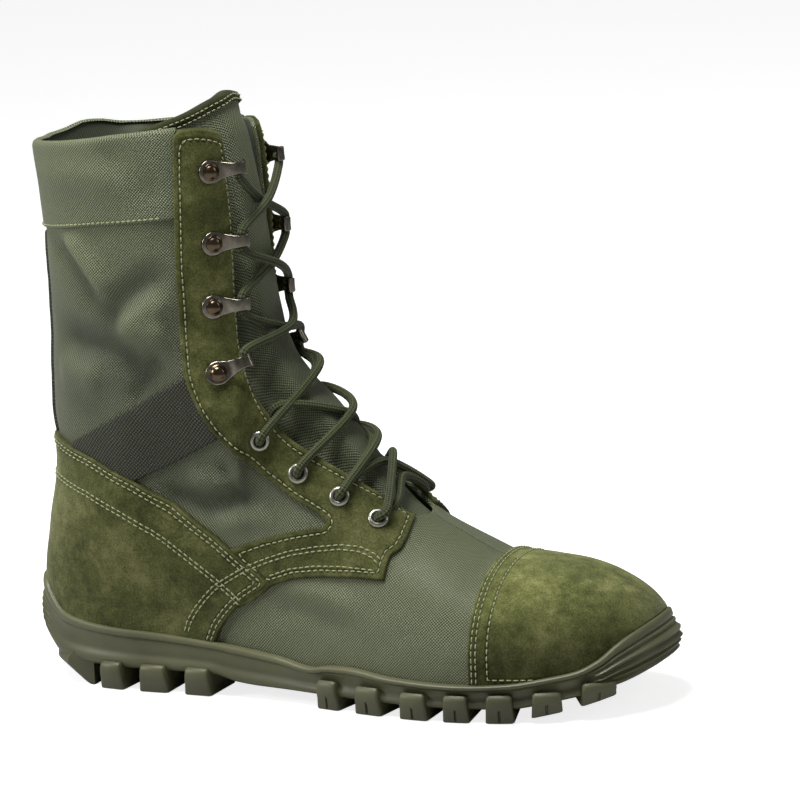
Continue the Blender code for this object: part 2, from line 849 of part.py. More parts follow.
insole_points = []
for inset, height in ((INSOLE_INSET, insole_under), (INSOLE_INSET + 1.2, insole_top)):
    ring = SKIN[0] - SKIN_NORMAL[0] * inset
    ring[:, 2] = height(ring[:, 0])
    insole_points.extend(ring)
insole_faces = ring_faces(0, STATIONS, STATIONS)
insole_faces += across(insole_points, 0, insole_under, 1)
insole_faces += across(insole_points, STATIONS, insole_top, 1)
put("insole", insole_points, insole_faces, LINING)

upper = shell("upper", -WALL, 0.0, FABRIC)


def panel(name, finish, thickness, stations, rows, outline, solver="EXACT", gap=GAP):
    """An overlay: a patch just outside the upper, kept inside an outline in side view."""
    along = [j % STATIONS for j in range(stations[0], stations[1] + 1)]
    skin = SKIN[rows[0]:rows[1] + 1, along].copy()
    normal = SKIN_NORMAL[rows[0]:rows[1] + 1, along]
    if rows[0] == 1:
        up = skin[1] - skin[0]
        skin[0] += up / np.linalg.norm(up, axis=-1, keepdims=True) * GAP
    item = slab(name, skin + normal * (GAP + thickness), skin + normal * gap, finish,
                SPLIT[rows[0]:rows[1], along[:-1]])
    cut(item, outline, "INTERSECT", solver)
    return item


def both_sides(stations):
    """A run of stations on the outer side, and its mirror image on the inner side."""
    return (("lateral", stations), ("medial", (STATIONS - stations[1], STATIONS - stations[0])))


def side_prism(name, outline):
    return prism(name, outline, -SIDE_REACH, SIDE_REACH)


counter_outline = side_prism("counter_outline", COUNTER_OUTLINE)
counter_room = side_prism("counter_room", grown(COUNTER_OUTLINE, GAP))
eyestay_outline = side_prism("eyestay_outline", EYESTAY_OUTLINE)
eyestay_room = side_prism("eyestay_room", grown(EYESTAY_OUTLINE, GAP))
web_outline = side_prism("web_outline", WEB_OUTLINE)

panel("toe_cap", SUEDE_LEATHER, SUEDE, (-11, 11), (1, 8), side_prism("cap_outline", CAP_SEAM))
panel("heel_counter", SUEDE_LEATHER, SUEDE, (12, STATIONS - 12), (1, 7), counter_outline)
for side_name, stations in both_sides((3, 24)):
    eyestay = panel("eyestay_" + side_name, SUEDE_LEATHER, SUEDE, stations, (1, ROWS),
                    eyestay_outline, "MANIFOLD", 0.5)
    cut(eyestay, counter_room, solver="MANIFOLD")
for side_name, stations in both_sides((15, HALF_STATIONS - 1)):
    web = panel("ankle_web_" + side_name, STRAP, WEBBING, stations, (2, 9), web_outline)
    cut(web, counter_room)
    cut(web, eyestay_room)
collar_outline = side_prism("collar_outline", COLLAR_OUTLINE)
collar_band = panel("collar_band", FABRIC, BAND, (21, STATIONS - 21), (7, ROWS),
                    collar_outline, "MANIFOLD")
cut(collar_band, eyestay_room, solver="MANIFOLD")
stay_box = [(-30.0, STAY_BOTTOM), (60.0, STAY_BOTTOM), (60.0, STAY_TOP), (-30.0, STAY_TOP)]
stay_outline = prism("stay_outline", stay_box, -STAY_HALF_WIDTH, STAY_HALF_WIDTH)
panel("back_stay", STRAP, WEBBING, (25, STATIONS - 25), (2, 10), stay_outline)


def tongue_grid():
    """Outer points of the tongue and their normals, row by row from the vamp up."""
    rows = []
    turn = np.linspace(-1, 1, TONGUE_COLUMNS + 1)
    for k, (eye_x, eye_z, tilt, spread, middle) in enumerate(TONGUE_ROWS):
        side = np.radians(turn * spread)
        view = math.radians(tilt)
        top = max(0, k - len(TONGUE_ROWS) + 3) / 2
        height = eye_z + top * (TONGUE_RISE - TONGUE_DROP * np.abs(turn) ** 1.25)
        eye = np.stack([0 * turn + eye_x, 0 * turn, height], -1)
        ray = np.stack([np.cos(side) * math.cos(view), np.sin(side), np.cos(side) * math.sin(view)], -1)
        point, normal = reach_surface(eye, eye + ray)
        crown = eased((CROWN_HALF - np.abs(point[:, 1])) / CROWN_SLOPE)
        edge = TONGUE_EDGE - TONGUE_TUCK * top
        stand = edge + (middle - edge) * crown
        rows.append((point + normal * stand[:, None], normal))
    return np.array([r[0] for r in rows]), np.array([r[1] for r in rows])


TONGUE, TONGUE_NORMAL = tongue_grid()
slab("tongue", TONGUE, TONGUE - TONGUE_NORMAL * TONGUE_PAD, FABRIC)

# The tongue's suede binding: a channel over its top edge
binding_points = []
inner_face = 2 * GAP
outer_face = 2 * GAP + BINDING
for j in range(TONGUE_COLUMNS + 1):
    low, high = TONGUE[-2, j], TONGUE[-1, j]
    out_low, out_high = TONGUE_NORMAL[-2, j], TONGUE_NORMAL[-1, j]
    rise = (high - low) / np.linalg.norm(high - low)
    binding_points += [
        low + out_low * inner_face,
        low + out_low * outer_face,
        high + out_high * outer_face + rise * outer_face,
        high - out_high * (TONGUE_PAD + outer_face) + rise * outer_face,
        low - out_low * (TONGUE_PAD + outer_face),
        low - out_low * (TONGUE_PAD + inner_face),
        high - out_high * (TONGUE_PAD + inner_face) + rise * inner_face,
        high + out_high * inner_face + rise * inner_face,
    ]
put("tongue_binding", binding_points, block_faces(0, TONGUE_COLUMNS + 1, 8), SUEDE_LEATHER)


skin_faces = []
for i in range(ROWS):
    skin_faces += ring_faces(i * STATIONS, (i + 1) * STATIONS, STATIONS, SPLIT[i])
SKIN_TREE = BVHTree.FromPolygons([Vector(p) for p in SKIN.reshape(-1, 3)], skin_faces)


def seat(x, y, z, lift, radius=0.0):
    """A point over the upper's outer surface, clear of it all round, and the normal there."""
    point, normal = on_skin(x, y, z)
    side = normal.orthogonal().normalized()
    highest = 0.0
    for turn in range(8):
        start = point + Quaternion(normal, turn * math.pi / 4) @ side * radius + normal * 10
        hit = SKIN_TREE.ray_cast(start, -normal)[0]
        if hit:
            highest = max(highest, (hit - point).dot(normal))
    return point + normal * (lift + highest), normal


EYELET_PROFILE = [
    (EYELET_HOLE, -5.0),
    (EYELET_HOLE, 0.8),
    (EYELET_BARREL + 0.2, 1.2),
    (EYELET_FLANGE - 0.2, 0.7),
    (EYELET_FLANGE, 0.0),
    (EYELET_BARREL, 0.0),
    (EYELET_BARREL, -5.0),
]
RIVET_PROFILE = [
    (0.0, 1.9),
    (2.2, 1.5),
    (3.3, 0.7),
    (RIVET_RADIUS, 0.0),
    (0.0, 0.0),
]
OUTER_FACE = GAP + SUEDE + GAP
DRILL_SIDES = 8

for side_name, side in SIDES:
    drills = []
    for k, (x, y, z) in enumerate(EYELETS, 1):
        centre, normal = seat(x, -y * side, z, OUTER_FACE, EYELET_FLANGE)
        place = frame_at(centre, normal, Vector((1, 0, -0.4)))
        lathe("eyelet_%s_%d" % (side_name, k), EYELET_PROFILE, 8, NICKEL, place)
        drills.append(place)
    points = []
    faces = []
    for place in drills:
        first = len(points)
        for depth in (-9.0, 4.0):
            for k in range(DRILL_SIDES):
                angle = 2 * math.pi * k / DRILL_SIDES
                reach = EYELET_BARREL + 1.4 * GAP
                points.append(place @ Vector((reach * math.cos(angle), reach * math.sin(angle), depth)))
        faces += block_faces(first, 2, DRILL_SIDES)
    drill = cutter(put("eyelet_drill_" + side_name, points, faces, None, smooth=False))
    cut(upper, drill)
    cut(bpy.data.objects["eyestay_" + side_name], drill, solver="MANIFOLD")


def hook_plate(name, place):
    """A lace hook: a round base that narrows to a raised arm with a curled tip."""
    points = []
    for along, half, lift in HOOK_ROWS:
        for across, height in ((-half, 0), (half, 0), (half * 0.9, HOOK_PLATE), (-half * 0.9, HOOK_PLATE)):
            points.append(place @ Vector((along, across, lift + height)))
    put(name, points, block_faces(0, len(HOOK_ROWS), 4), NICKEL)


hook_places = {}
for side_name, side in SIDES:
    for k, (x, y, z, rise) in enumerate(HOOKS, 1):
        centre, normal = seat(x, -y * side, z, OUTER_FACE + 0.3, HOOK_BASE)
        arm = Vector((0.72 * 17, -0.69 * side * 17, rise))
        place = frame_at(centre, normal, arm)
        hook_places[side, k] = place
        hook_plate("hook_%s_%d" % (side_name, k), place)
        top = place @ Matrix.Translation((0, 0, HOOK_PLATE + GAP))
        lathe("rivet_%s_%d" % (side_name, k), RIVET_PROFILE, 8, NICKEL, top)


def lace(name, strands, reach=1.0):
    """Round cord along one or two short arcs, joined where they cross."""
    tubes = []
    for start, middle, end in strands:
        curve = bpy.data.curves.new(name, "CURVE")
        curve.dimensions = "3D"
        curve.bevel_depth = LACE_RADIUS * MM
        curve.bevel_resolution = 1
        curve.use_fill_caps = True
        spline = curve.splines.new("POLY")
        turns = np.linspace(0, reach, 6)
        spline.points.add(len(turns) - 1)
        for point, t in zip(spline.points, turns):
            p = start * (1 - t) * (1 - 2 * t) + middle * 4 * t * (1 - t) + end * t * (2 * t - 1)
            point.co = (*to_world(p), 1.0)
        tubes.append(curve)
    first = bpy.data.objects.new(name, tubes[0])
    first.data.materials.append(CORD)
    bpy.context.scene.collection.objects.link(first)
    mesh = bpy.data.meshes.new_from_object(first.evaluated_get(bpy.context.evaluated_depsgraph_get()))
    bpy.data.objects.remove(first)
    item = bpy.data.objects.new(name, mesh)
    bpy.context.scene.collection.objects.link(item)
    if len(tubes) > 1:
        other = bpy.data.objects.new(name + "_crossing", tubes[1])
        bpy.context.scene.collection.objects.link(other)
        other_mesh = bpy.data.meshes.new_from_object(other.evaluated_get(bpy.context.evaluated_depsgraph_get()))
        bpy.data.objects.remove(other)
        other = cutter(bpy.data.objects.new(name + "_crossing", other_mesh))
        bpy.context.scene.collection.objects.link(other)
        cut(item, other, "UNION")
    item.data.shade_smooth()
    return item


def front_point(x, z, tilt, lift):
    """A point in front of the throat's middle, above the closed form."""
    view = math.radians(tilt)
    eye = np.array([[x, 0.0, z]])
    ray = np.array([[math.cos(view), 0.0, math.sin(view)]])
    point, normal = reach_surface(eye, eye + ray)
    return Vector(point[0] + normal[0] * lift)


def mirrored(point):
    return Vector((point.x, -point.y, point.z))


# Where each crossing passes the middle: viewing x and height, tilt, lift off the form
CROSSINGS = [
    (158.0, 56.0, 76.0, 3.6),
    (142.0, 66.0, 64.0, 4.4),
    (122.0, 84.0, 50.0, 5.6),
    (92.0, 112.0, 26.0, 8.8),
    (70.0, 156.0, 0.0, 7.6),
    (66.0, 184.0, 0.0, 5.8),
    (65.0, 212.0, 0.0, 3.4),
]
LACE_OVER = 4.9           # lace centre over the facings
LACE_UNDER = 2.4          # and where it goes under the opposite facing
UNDER_REACH = 0.7         # share of the way to that facing that the solid follows


def lace_end(k, way, under):
    """An end of a strand at anchor k: eyelets 0 to 3, then hooks 4 to 7, outer side."""
    if k < 4:
        x, y, z = EYELETS[k]
        if under:
            point, normal = seat(x + 3.5, y + 12.0, z + 4.0, LACE_UNDER)
            return point
        point, normal = seat(x + 1.2, y + 4.5, z + 1.4, LACE_OVER + (0.8 if k == 3 else 0.0))
        return point
    place = hook_places[-1, k - 3]
    beside = 5.5 if k == 4 else 4.9
    return place @ Vector((13.0, 0, 2.0)) + Vector((0.6, 0, beside * way))


for k, (eye_x, eye_z, tilt, lift) in enumerate(CROSSINGS):
    start = lace_end(k, 1, False)
    end = mirrored(lace_end(k + 1, -1, k + 1 < 4))
    middle = front_point(eye_x, eye_z, tilt, lift)
    lace("lace_crossing_%d" % (k + 1), [(start, middle, end), (mirrored(start), middle, mirrored(end))],
         UNDER_REACH if k + 1 < 4 else 1.0)
bar_end, _ = seat(EYELETS[0][0] + 3.0, EYELETS[0][1] + 11.0, EYELETS[0][2] + 3.0, LACE_UNDER)
lace("lace_bar", [(bar_end, front_point(172.0, 48.0, 86.0, 2.4), mirrored(bar_end))])
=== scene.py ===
import math

import bmesh
import bpy
import numpy as np
from mathutils import Matrix, Vector
from mathutils.bvhtree import BVHTree

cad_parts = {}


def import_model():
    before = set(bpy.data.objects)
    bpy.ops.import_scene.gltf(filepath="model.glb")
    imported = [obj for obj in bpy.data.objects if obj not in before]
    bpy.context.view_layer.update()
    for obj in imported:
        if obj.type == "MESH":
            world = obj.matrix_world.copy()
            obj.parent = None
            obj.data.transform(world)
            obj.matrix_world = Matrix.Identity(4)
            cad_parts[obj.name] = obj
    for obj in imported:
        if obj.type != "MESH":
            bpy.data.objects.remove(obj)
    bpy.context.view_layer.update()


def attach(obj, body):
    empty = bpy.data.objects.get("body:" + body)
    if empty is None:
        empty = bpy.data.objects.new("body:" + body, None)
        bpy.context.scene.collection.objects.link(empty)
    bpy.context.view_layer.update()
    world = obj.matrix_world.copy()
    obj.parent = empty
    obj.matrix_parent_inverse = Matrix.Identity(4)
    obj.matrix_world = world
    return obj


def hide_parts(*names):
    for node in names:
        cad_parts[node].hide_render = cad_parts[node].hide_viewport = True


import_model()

# STUDIO
# A pale floor with no visible edge, lit from large soft boxes above and to the left, and
# one right-hand fill. Lengths are millimetres, with x from the back of the sole.
HEEL_CENTRE = 69.0        # x of the frame's origin
AIM = (170.09, 16.28, 122.75)
CAMERA_DISTANCE = 1794.05
CAMERA_AZIMUTH = 22.899
CAMERA_ELEVATION = 11.222
CAMERA_ROLL = -2.775
LENS = 187.9
LAMPS_AIM = (140, 0, 90)
FLOOR_GLOW = 0.8          # for the camera alone, so that the floor's far part looks white
AIR_LIGHT = 0.17
SOFT_BOXES = [            # name, x, y, z, width, height, watts
    ("top box", -50.0, -300.0, 1500.0, 700.0, 600.0, 27.0),
    ("left box", -1250.0, -800.0, 900.0, 350.0, 600.0, 12.0),
    ("right box", 1400.0, 300.0, 800.0, 300.0, 700.0, 2.0),
]


def world(p):
    """A point in millimetres from the sole's back, in the frame's metres."""
    return Vector(((float(p[0]) - HEEL_CENTRE) / 1000, float(p[1]) / 1000, float(p[2]) / 1000))


def add(tree, kind, wires=None, **settings):
    """A shader node with its settings, and its inputs set or wired."""
    made = tree.nodes.new("ShaderNode" + kind)
    for key, value in settings.items():
        setattr(made, key, value)
    for key, value in (wires or {}).items():
        if isinstance(value, bpy.types.NodeSocket):
            tree.links.new(value, made.inputs[key])
        else:
            made.inputs[key].default_value = value
    return made


def new_finish(name, **values):
    """A material, its node tree and its shader, with the shader's plain values set."""
    made = bpy.data.materials.new(name)
    made.use_nodes = True
    shader = made.node_tree.nodes["Principled BSDF"]
    for key, value in values.items():
        shader.inputs[key.replace("_", " ")].default_value = value
    return made, made.node_tree, shader


def calc(tree, operation, *values):
    """The result of one step of shader arithmetic."""
    return add(tree, "Math", dict(enumerate(values)), operation=operation).outputs[0]


camera = bpy.data.objects.new("camera", bpy.data.cameras.new("camera"))
bpy.context.collection.objects.link(camera)
bpy.context.scene.camera = camera
camera.data.lens = LENS
camera.data.clip_end = 30.0
turn = math.radians(CAMERA_AZIMUTH)
lift = math.radians(CAMERA_ELEVATION)
back = Vector((math.sin(turn) * math.cos(lift), -math.cos(turn) * math.cos(lift), math.sin(lift)))
camera.location = world(AIM) + back * CAMERA_DISTANCE / 1000
camera.rotation_euler = (back.to_track_quat("Z", "Y").to_matrix()
                         @ Matrix.Rotation(math.radians(CAMERA_ROLL), 3, "Z")).to_euler()

floor_mesh = bpy.data.meshes.new("floor")
floor_mesh.from_pydata([(-12, -12, 0), (12, -12, 0), (12, 12, 0), (-12, 12, 0)], [], [(0, 1, 2, 3)])
floor = bpy.data.objects.new("floor", floor_mesh)
bpy.context.collection.objects.link(floor)
floor_paint, floor_tree, floor_shader = new_finish("floor paint", Base_Color=(0.55, 0.55, 0.55, 1),
                                                   Roughness=0.9, Emission_Color=(1, 1, 1, 1))
seen = add(floor_tree, "LightPath")
glow = calc(floor_tree, "MULTIPLY", seen.outputs["Is Camera Ray"], FLOOR_GLOW)
floor_tree.links.new(glow, floor_shader.inputs["Emission Strength"])
floor_mesh.materials.append(floor_paint)

for name, x, y, z, width, height, watts in SOFT_BOXES:
    lamp = bpy.data.lights.new(name, "AREA")
    lamp.shape = "RECTANGLE"
    lamp.size = width / 1000
    lamp.size_y = height / 1000
    lamp.energy = watts
    box = bpy.data.objects.new(name, lamp)
    box.location = world((x, y, z))
    box.rotation_euler = (world(LAMPS_AIM) - box.location).to_track_quat("-Z", "Y").to_euler()
    bpy.context.collection.objects.link(box)

sky = bpy.data.worlds.new("studio air")
sky.use_nodes = True
sky.node_tree.nodes["Background"].inputs["Color"].default_value = (1, 1, 1, 1)
sky.node_tree.nodes["Background"].inputs["Strength"].default_value = AIR_LIGHT
bpy.context.scene.world = sky
bpy.context.scene.view_settings.view_transform = "Standard"


# UPPER
# Close woven nylon over foam and lining, cut and sewn, then pulled over the last and set in
# the sole. The form is the last's: a plan outline, a ridge line in side view and a back line.
TOE_TIP = 294.0
RUBBER_WALL = 3.4
UPPER_TIP = TOE_TIP - RUBBER_WALL
WALL = 2.4
GAP = 0.3
FLOOR_GAP = 0.8
TOE_SHIFT = 7.0
SHIFT_START = 150.0
WIDEST = 25.0
TOE_POWER = 2.35
DOME_POWER = 2.15
HEEL_ROUND = 58.0
FRONT_ROUND = 37.0
# Where the foot's form turns into the leg's: start and length of each blend
ANKLE_UP = (35.0, 75.0)
INSTEP_BACK = (150.0, 70.0)
SHIN_UP = (105.0, 40.0)
TOE_START = (205.0, 215.0)     # where the toe's rounding starts, outer and inner side
# Half widths of the sole in plan: x, outer, inner
PLAN = [(0, 34.0, 33.5), (65, 34.0, 33.5), (97, 35.0, 31.8), (130, 38.0, 32.0), (150, 42.0, 35.5),
        (170, 46.5, 40.5), (190, 50.3, 45.0), (205, 52.0, 46.8), (215, 52.2, 47.2), (303, 52.2, 47.2)]
# Back of the boot: height, x
BACK_LINE = [(0, 5.8), (26, 5.8), (42, 6.9), (53, 8.2), (70, 11.4), (100, 16.6), (121, 15.0),
             (166, 17.0), (200, 17.0), (236, 14.2), (260, 12.0)]
# Half width of the leg: height, half width
LEG_WIDTH = [(25, 31.5), (60, 33.0), (100, 34.0), (150, 37.0), (200, 39.5), (260, 41.0)]
# Closed front of the form: x, height
RIDGE_LINE = [(90, 420.0), (108, 262.0), (113.5, 240.0), (115.5, 205.0), (116.5, 172.0), (118.5, 156.0),
              (121, 147.5), (125, 140.5), (130.5, 134.5), (141, 125.5), (152, 115.0), (169, 97.5),
              (184, 82.5), (192, 76.0), (202, 70.5), (212, 65.0), (220, 61.2), (228, 59.6), (237, 58.9),
              (246, 57.8), (255, 56.3), (262.5, 54.1), (269.5, 51.0), (275.5, 47.6), (281.5, 42.8),
              (285.5, 38.0), (288.5, 32.0), (290.6, 24.0)]
# Floor of the sole's cup, and the top edge of its wall: x, height
CUP_FLOOR = [(0, 24.0), (60, 22.0), (110, 17.0), (150, 13.5), (235, 12.0), (262, 14.0), (303, 21.5)]
RIM_LINE = [(2, 46.0), (10, 44.0), (16, 38.0), (25, 31.5), (44, 28.5), (69, 27.0), (98, 24.5),
            (130, 20.5), (148, 17.5), (155, 19.0), (166, 19.5), (187, 17.3), (218, 16.2), (237, 17.0),
            (252, 19.2), (264, 21.5), (272, 25.5), (278, 31.0), (285, 36.0), (294, 40.0)]
# Ribs from the lower edge to the opening: station, share of the outline from toe to heel, the
# opening's x, half gap and height, and the x and height on the centre plane it is seen from
RIBS = [(0, 0.000, 190.0, 0.0, 78.0, 190.0, 40.0), (3, 0.100, 189.0, 6.0, 78.0, 189.0, 40.0),
        (6, 0.205, 185.0, 13.5, 79.8, 183.0, 42.0), (9, 0.310, 172.0, 17.5, 90.0, 169.0, 50.0),
        (12, 0.420, 149.0, 21.0, 104.0, 140.0, 66.0), (14, 0.500, 131.5, 23.5, 117.0, 112.0, 90.0),
        (16, 0.570, 117.5, 25.0, 137.0, 85.0, 122.0), (18, 0.640, 113.0, 21.5, 170.0, 68.0, 166.0),
        (20, 0.710, 111.8, 20.0, 215.0, 65.0, 214.0), (22, 0.780, 108.5, 20.0, 245.5, 65.0, 245.0),
        (23, 0.815, 95.0, 33.0, 245.2, 65.0, 244.5), (25, 0.890, 52.0, 41.0, 240.5, 62.0, 240.0),
        (27, 0.965, 20.0, 22.0, 237.0, 58.0, 236.5), (28, 1.000, 13.2, 0.0, 236.0, 58.0, 236.0)]
LAST_RIB = 28
RIB_TURN = 2.5
LOW_EYE = (62.0, 215.0)
SIDES = (("lateral", -1), ("medial", 1))
HALF = 140                # stations from toe to heel on each side
ROWS = 84                 # rows from the sole's rim to the opening
ROLL = 4                  # rows over the rolled edge
LOW_EDGE = 20.0           # height at which the lasted edge's outline is taken
LOW_STEPS, RIB_STEPS = 241, 160
# Folds of the cloth: side, depth (out is plus), half width, then points x, height
FOLDS = [
    (-1, -1.5, 5.0, [(26, 199), (36, 192), (48.6, 177.4), (57, 166)]),
    (-1, 1.4, 5.5, [(36, 203), (52, 187), (62, 172)]),
    (-1, -1.6, 5.5, [(91, 189), (77, 181), (66, 173), (54, 160)]),
    (-1, 1.3, 6.0, [(91, 176), (76, 168), (64, 160)]),
    (-1, -2.0, 8.0, [(26, 157), (42, 154), (60, 152), (80, 142)]),
    (-1, 1.2, 7.0, [(26, 142), (40, 140), (54, 137)]),
    (-1, -1.3, 4.0, [(86, 152), (79, 144), (71, 134), (64, 126)]),
    (-1, 1.4, 6.0, [(90, 162), (74, 157), (60, 163)]),
    (-1, -1.6, 4.5, [(73, 92), (86, 87), (99, 84), (113, 87), (126, 90)]),
    (-1, -0.8, 14.0, [(60, 104), (90, 96), (120, 84), (140, 80)]),
    (-1, -0.6, 10.0, [(28, 120), (50, 128), (72, 138), (92, 146)]),
    (-1, 1.1, 5.0, [(88, 97), (103, 94), (118, 96)]),
    (-1, 0.9, 4.0, [(100, 76), (116, 79), (132, 80)]),
    (-1, -0.9, 3.0, [(106, 104), (110, 96), (115, 88)]),
    (-1, -0.6, 5.0, [(122, 42), (140, 42), (155, 38), (174, 33)]),
    (-1, 0.6, 5.0, [(130, 52), (150, 50), (176, 44)]),
    (-1, 0.7, 7.0, [(18, 224), (50, 226), (88, 226)]),
    (-1, -0.8, 6.0, [(60, 243), (76, 228), (90, 214)]),
    (1, -1.0, 8.0, [(24, 170), (50, 160), (84, 166)]),
    (1, 1.0, 7.5, [(26, 184), (52, 178), (86, 184)]),
    (1, -1.0, 8.0, [(24, 140), (46, 146), (76, 138)]),
    (1, -1.3, 4.5, [(76, 92), (98, 86), (122, 90)]),
    (1, -1.0, 6.0, [(40, 240), (44, 226), (54, 212)]),
    (1, 1.0, 8.0, [(66, 244), (60, 226), (66, 210)]),
    (1, -0.6, 5.0, [(128, 44), (150, 42), (172, 36)]),
    (-1, -0.35, 1.6, [(256, 56.0), (261, 55.0), (266, 53.4), (270, 51.6)]),
    (-1, 0.25, 2.0, [(252, 54.0), (259, 52.5), (266, 50.0)]),
]
FOLD_GAIN = 2.1
SLACK = 0.16              # depth of the cloth's small unevenness
FORM_NORMAL = 0.6         # share of the smooth form in the folded cloth's normals
# How far the inner side of the collar's rim stands above its line: x, rise
INNER_RIM = [(10, 0.0), (16, 1.0), (23, 4.2), (29, 3.0), (36, 0.2), (44, -1.2), (60, -2.0), (90, -3.8),
             (108, -2.0), (120, 0.0)]
# The facings' top corners are rounded off: x where the rounding starts, its length and drop
TOP_CORNER = (100.5, 10.0, 6.5)
# Height where the rim's and the corner's shaping starts, over how much, and how suddenly
RIM_SHAPING = (212.0, 30.0, 1.5)
CORNER_SHAPING = (226.0, 18.0, 1.3)


def curve_through(rows, column=1):
    """A smooth, unwavering curve through two columns of a table, level past its ends."""
    at = np.array([row[0] for row in rows], float)
    value = np.array([row[column] for row in rows], float)
    step = np.diff(at)
    grade = np.diff(value) / step
    same_way = grade[:-1] * grade[1:] > 0
    total = np.where(same_way, grade[:-1] + grade[1:], 1.0)
    slope = np.zeros_like(value)
    slope[1:-1] = np.where(same_way, 2 * grade[:-1] * grade[1:] / total, 0.0)
    slope[0] = grade[0]
    slope[-1] = grade[-1]

    def read(where):
        where = np.clip(where, at[0], at[-1])
        k = np.clip(np.searchsorted(at, where, side="right") - 1, 0, len(step) - 1)
        t = (where - at[k]) / step[k]
        bend_in = step[k] * slope[k]
        bend_out = step[k] * slope[k + 1]
        rise = value[k + 1] - value[k]
        return value[k] + t * (bend_in + t * (3 * rise - 2 * bend_in - bend_out
                                              + t * (bend_in + bend_out - 2 * rise)))

    return read


def eased(t):
    t = np.clip(t, 0.0, 1.0)
    return t * t * (3 - 2 * t)


def past(value, blend):
    """How far a value is through a blend, eased from 0 to 1."""
    start, length = blend
    return eased((value - start) / length)


plan_outer = curve_through(PLAN, 1)
plan_inner = curve_through(PLAN, 2)
back_line = curve_through(BACK_LINE)
leg_width = curve_through(LEG_WIDTH)
ridge_line = curve_through(RIDGE_LINE)
front_line = curve_through([(z, x) for x, z in RIDGE_LINE if x < 190][::-1])
cup_floor = curve_through(CUP_FLOOR)
rim_line = curve_through(RIM_LINE)


def centre_line(x):
    return TOE_SHIFT * np.clip((x - SHIFT_START) / (TOE_TIP - SHIFT_START), 0, 1) ** 2


def form_half_width(x, z, side):
    """Half width of the last with the upper on it, seen from the side at x and z."""
    outer = side < 0
    plan = np.where(outer, plan_outer(x), plan_inner(x)) - RUBBER_WALL
    start = np.where(outer, TOE_START[0], TOE_START[1])
    toe = np.clip((x - start) / (UPPER_TIP - start), 0, 1)
    foot = plan * (1 - toe ** TOE_POWER) ** (1 / TOE_POWER)
    up = past(z, ANKLE_UP) * (1 - past(x, INSTEP_BACK))
    width = foot * (1 - up) + leg_width(z) * up
    heel = np.clip(1 - (x - back_line(z)) / HEEL_ROUND, 0, 1)
    width = width * np.sqrt(1 - heel ** 2)
    rise = np.clip((z - WIDEST) / np.maximum(ridge_line(x) - WIDEST, 0.01), 0, 1)
    dome = (1 - rise ** DOME_POWER) ** (1 / DOME_POWER)
    ahead = np.clip(1 - (front_line(z) - x) / FRONT_ROUND, 0, 1)
    into_leg = past(z, SHIN_UP)
    return width * (dome * (1 - into_leg) + np.sqrt(1 - ahead ** 2) * into_leg)


def fullness(p):
    across = p[..., 1] - centre_line(p[..., 0])
    return form_half_width(p[..., 0], p[..., 2], np.where(across < 0, -1, 1)) ** 2 - across ** 2


def reach_surface(eye, aim, far=160.0):
    """Where rays from points inside the form leave it, and the normals there."""
    ray = aim - eye
    ray = ray / np.linalg.norm(ray, axis=-1, keepdims=True)
    near = np.zeros(ray.shape[:-1])
    out = np.full(ray.shape[:-1], far)
    for _ in range(32):
        middle = (near + out) / 2
        inside = fullness(eye + ray * middle[..., None]) > 0
        near = np.where(inside, middle, near)
        out = np.where(inside, out, middle)
    surface = eye + ray * near[..., None]
    probe = surface - ray * 0.35
    slope = np.zeros_like(surface)
    for axis in range(3):
        nudge = np.zeros(3)
        nudge[axis] = 0.3
        slope[..., axis] = fullness(probe - nudge) - fullness(probe + nudge)
    return surface, slope / np.linalg.norm(slope, axis=-1, keepdims=True)


def run_along(points):
    """Lengths from the first point of a line to each of its points."""
    return np.concatenate([[0], np.cumsum(np.linalg.norm(np.diff(points, axis=0), axis=1))])


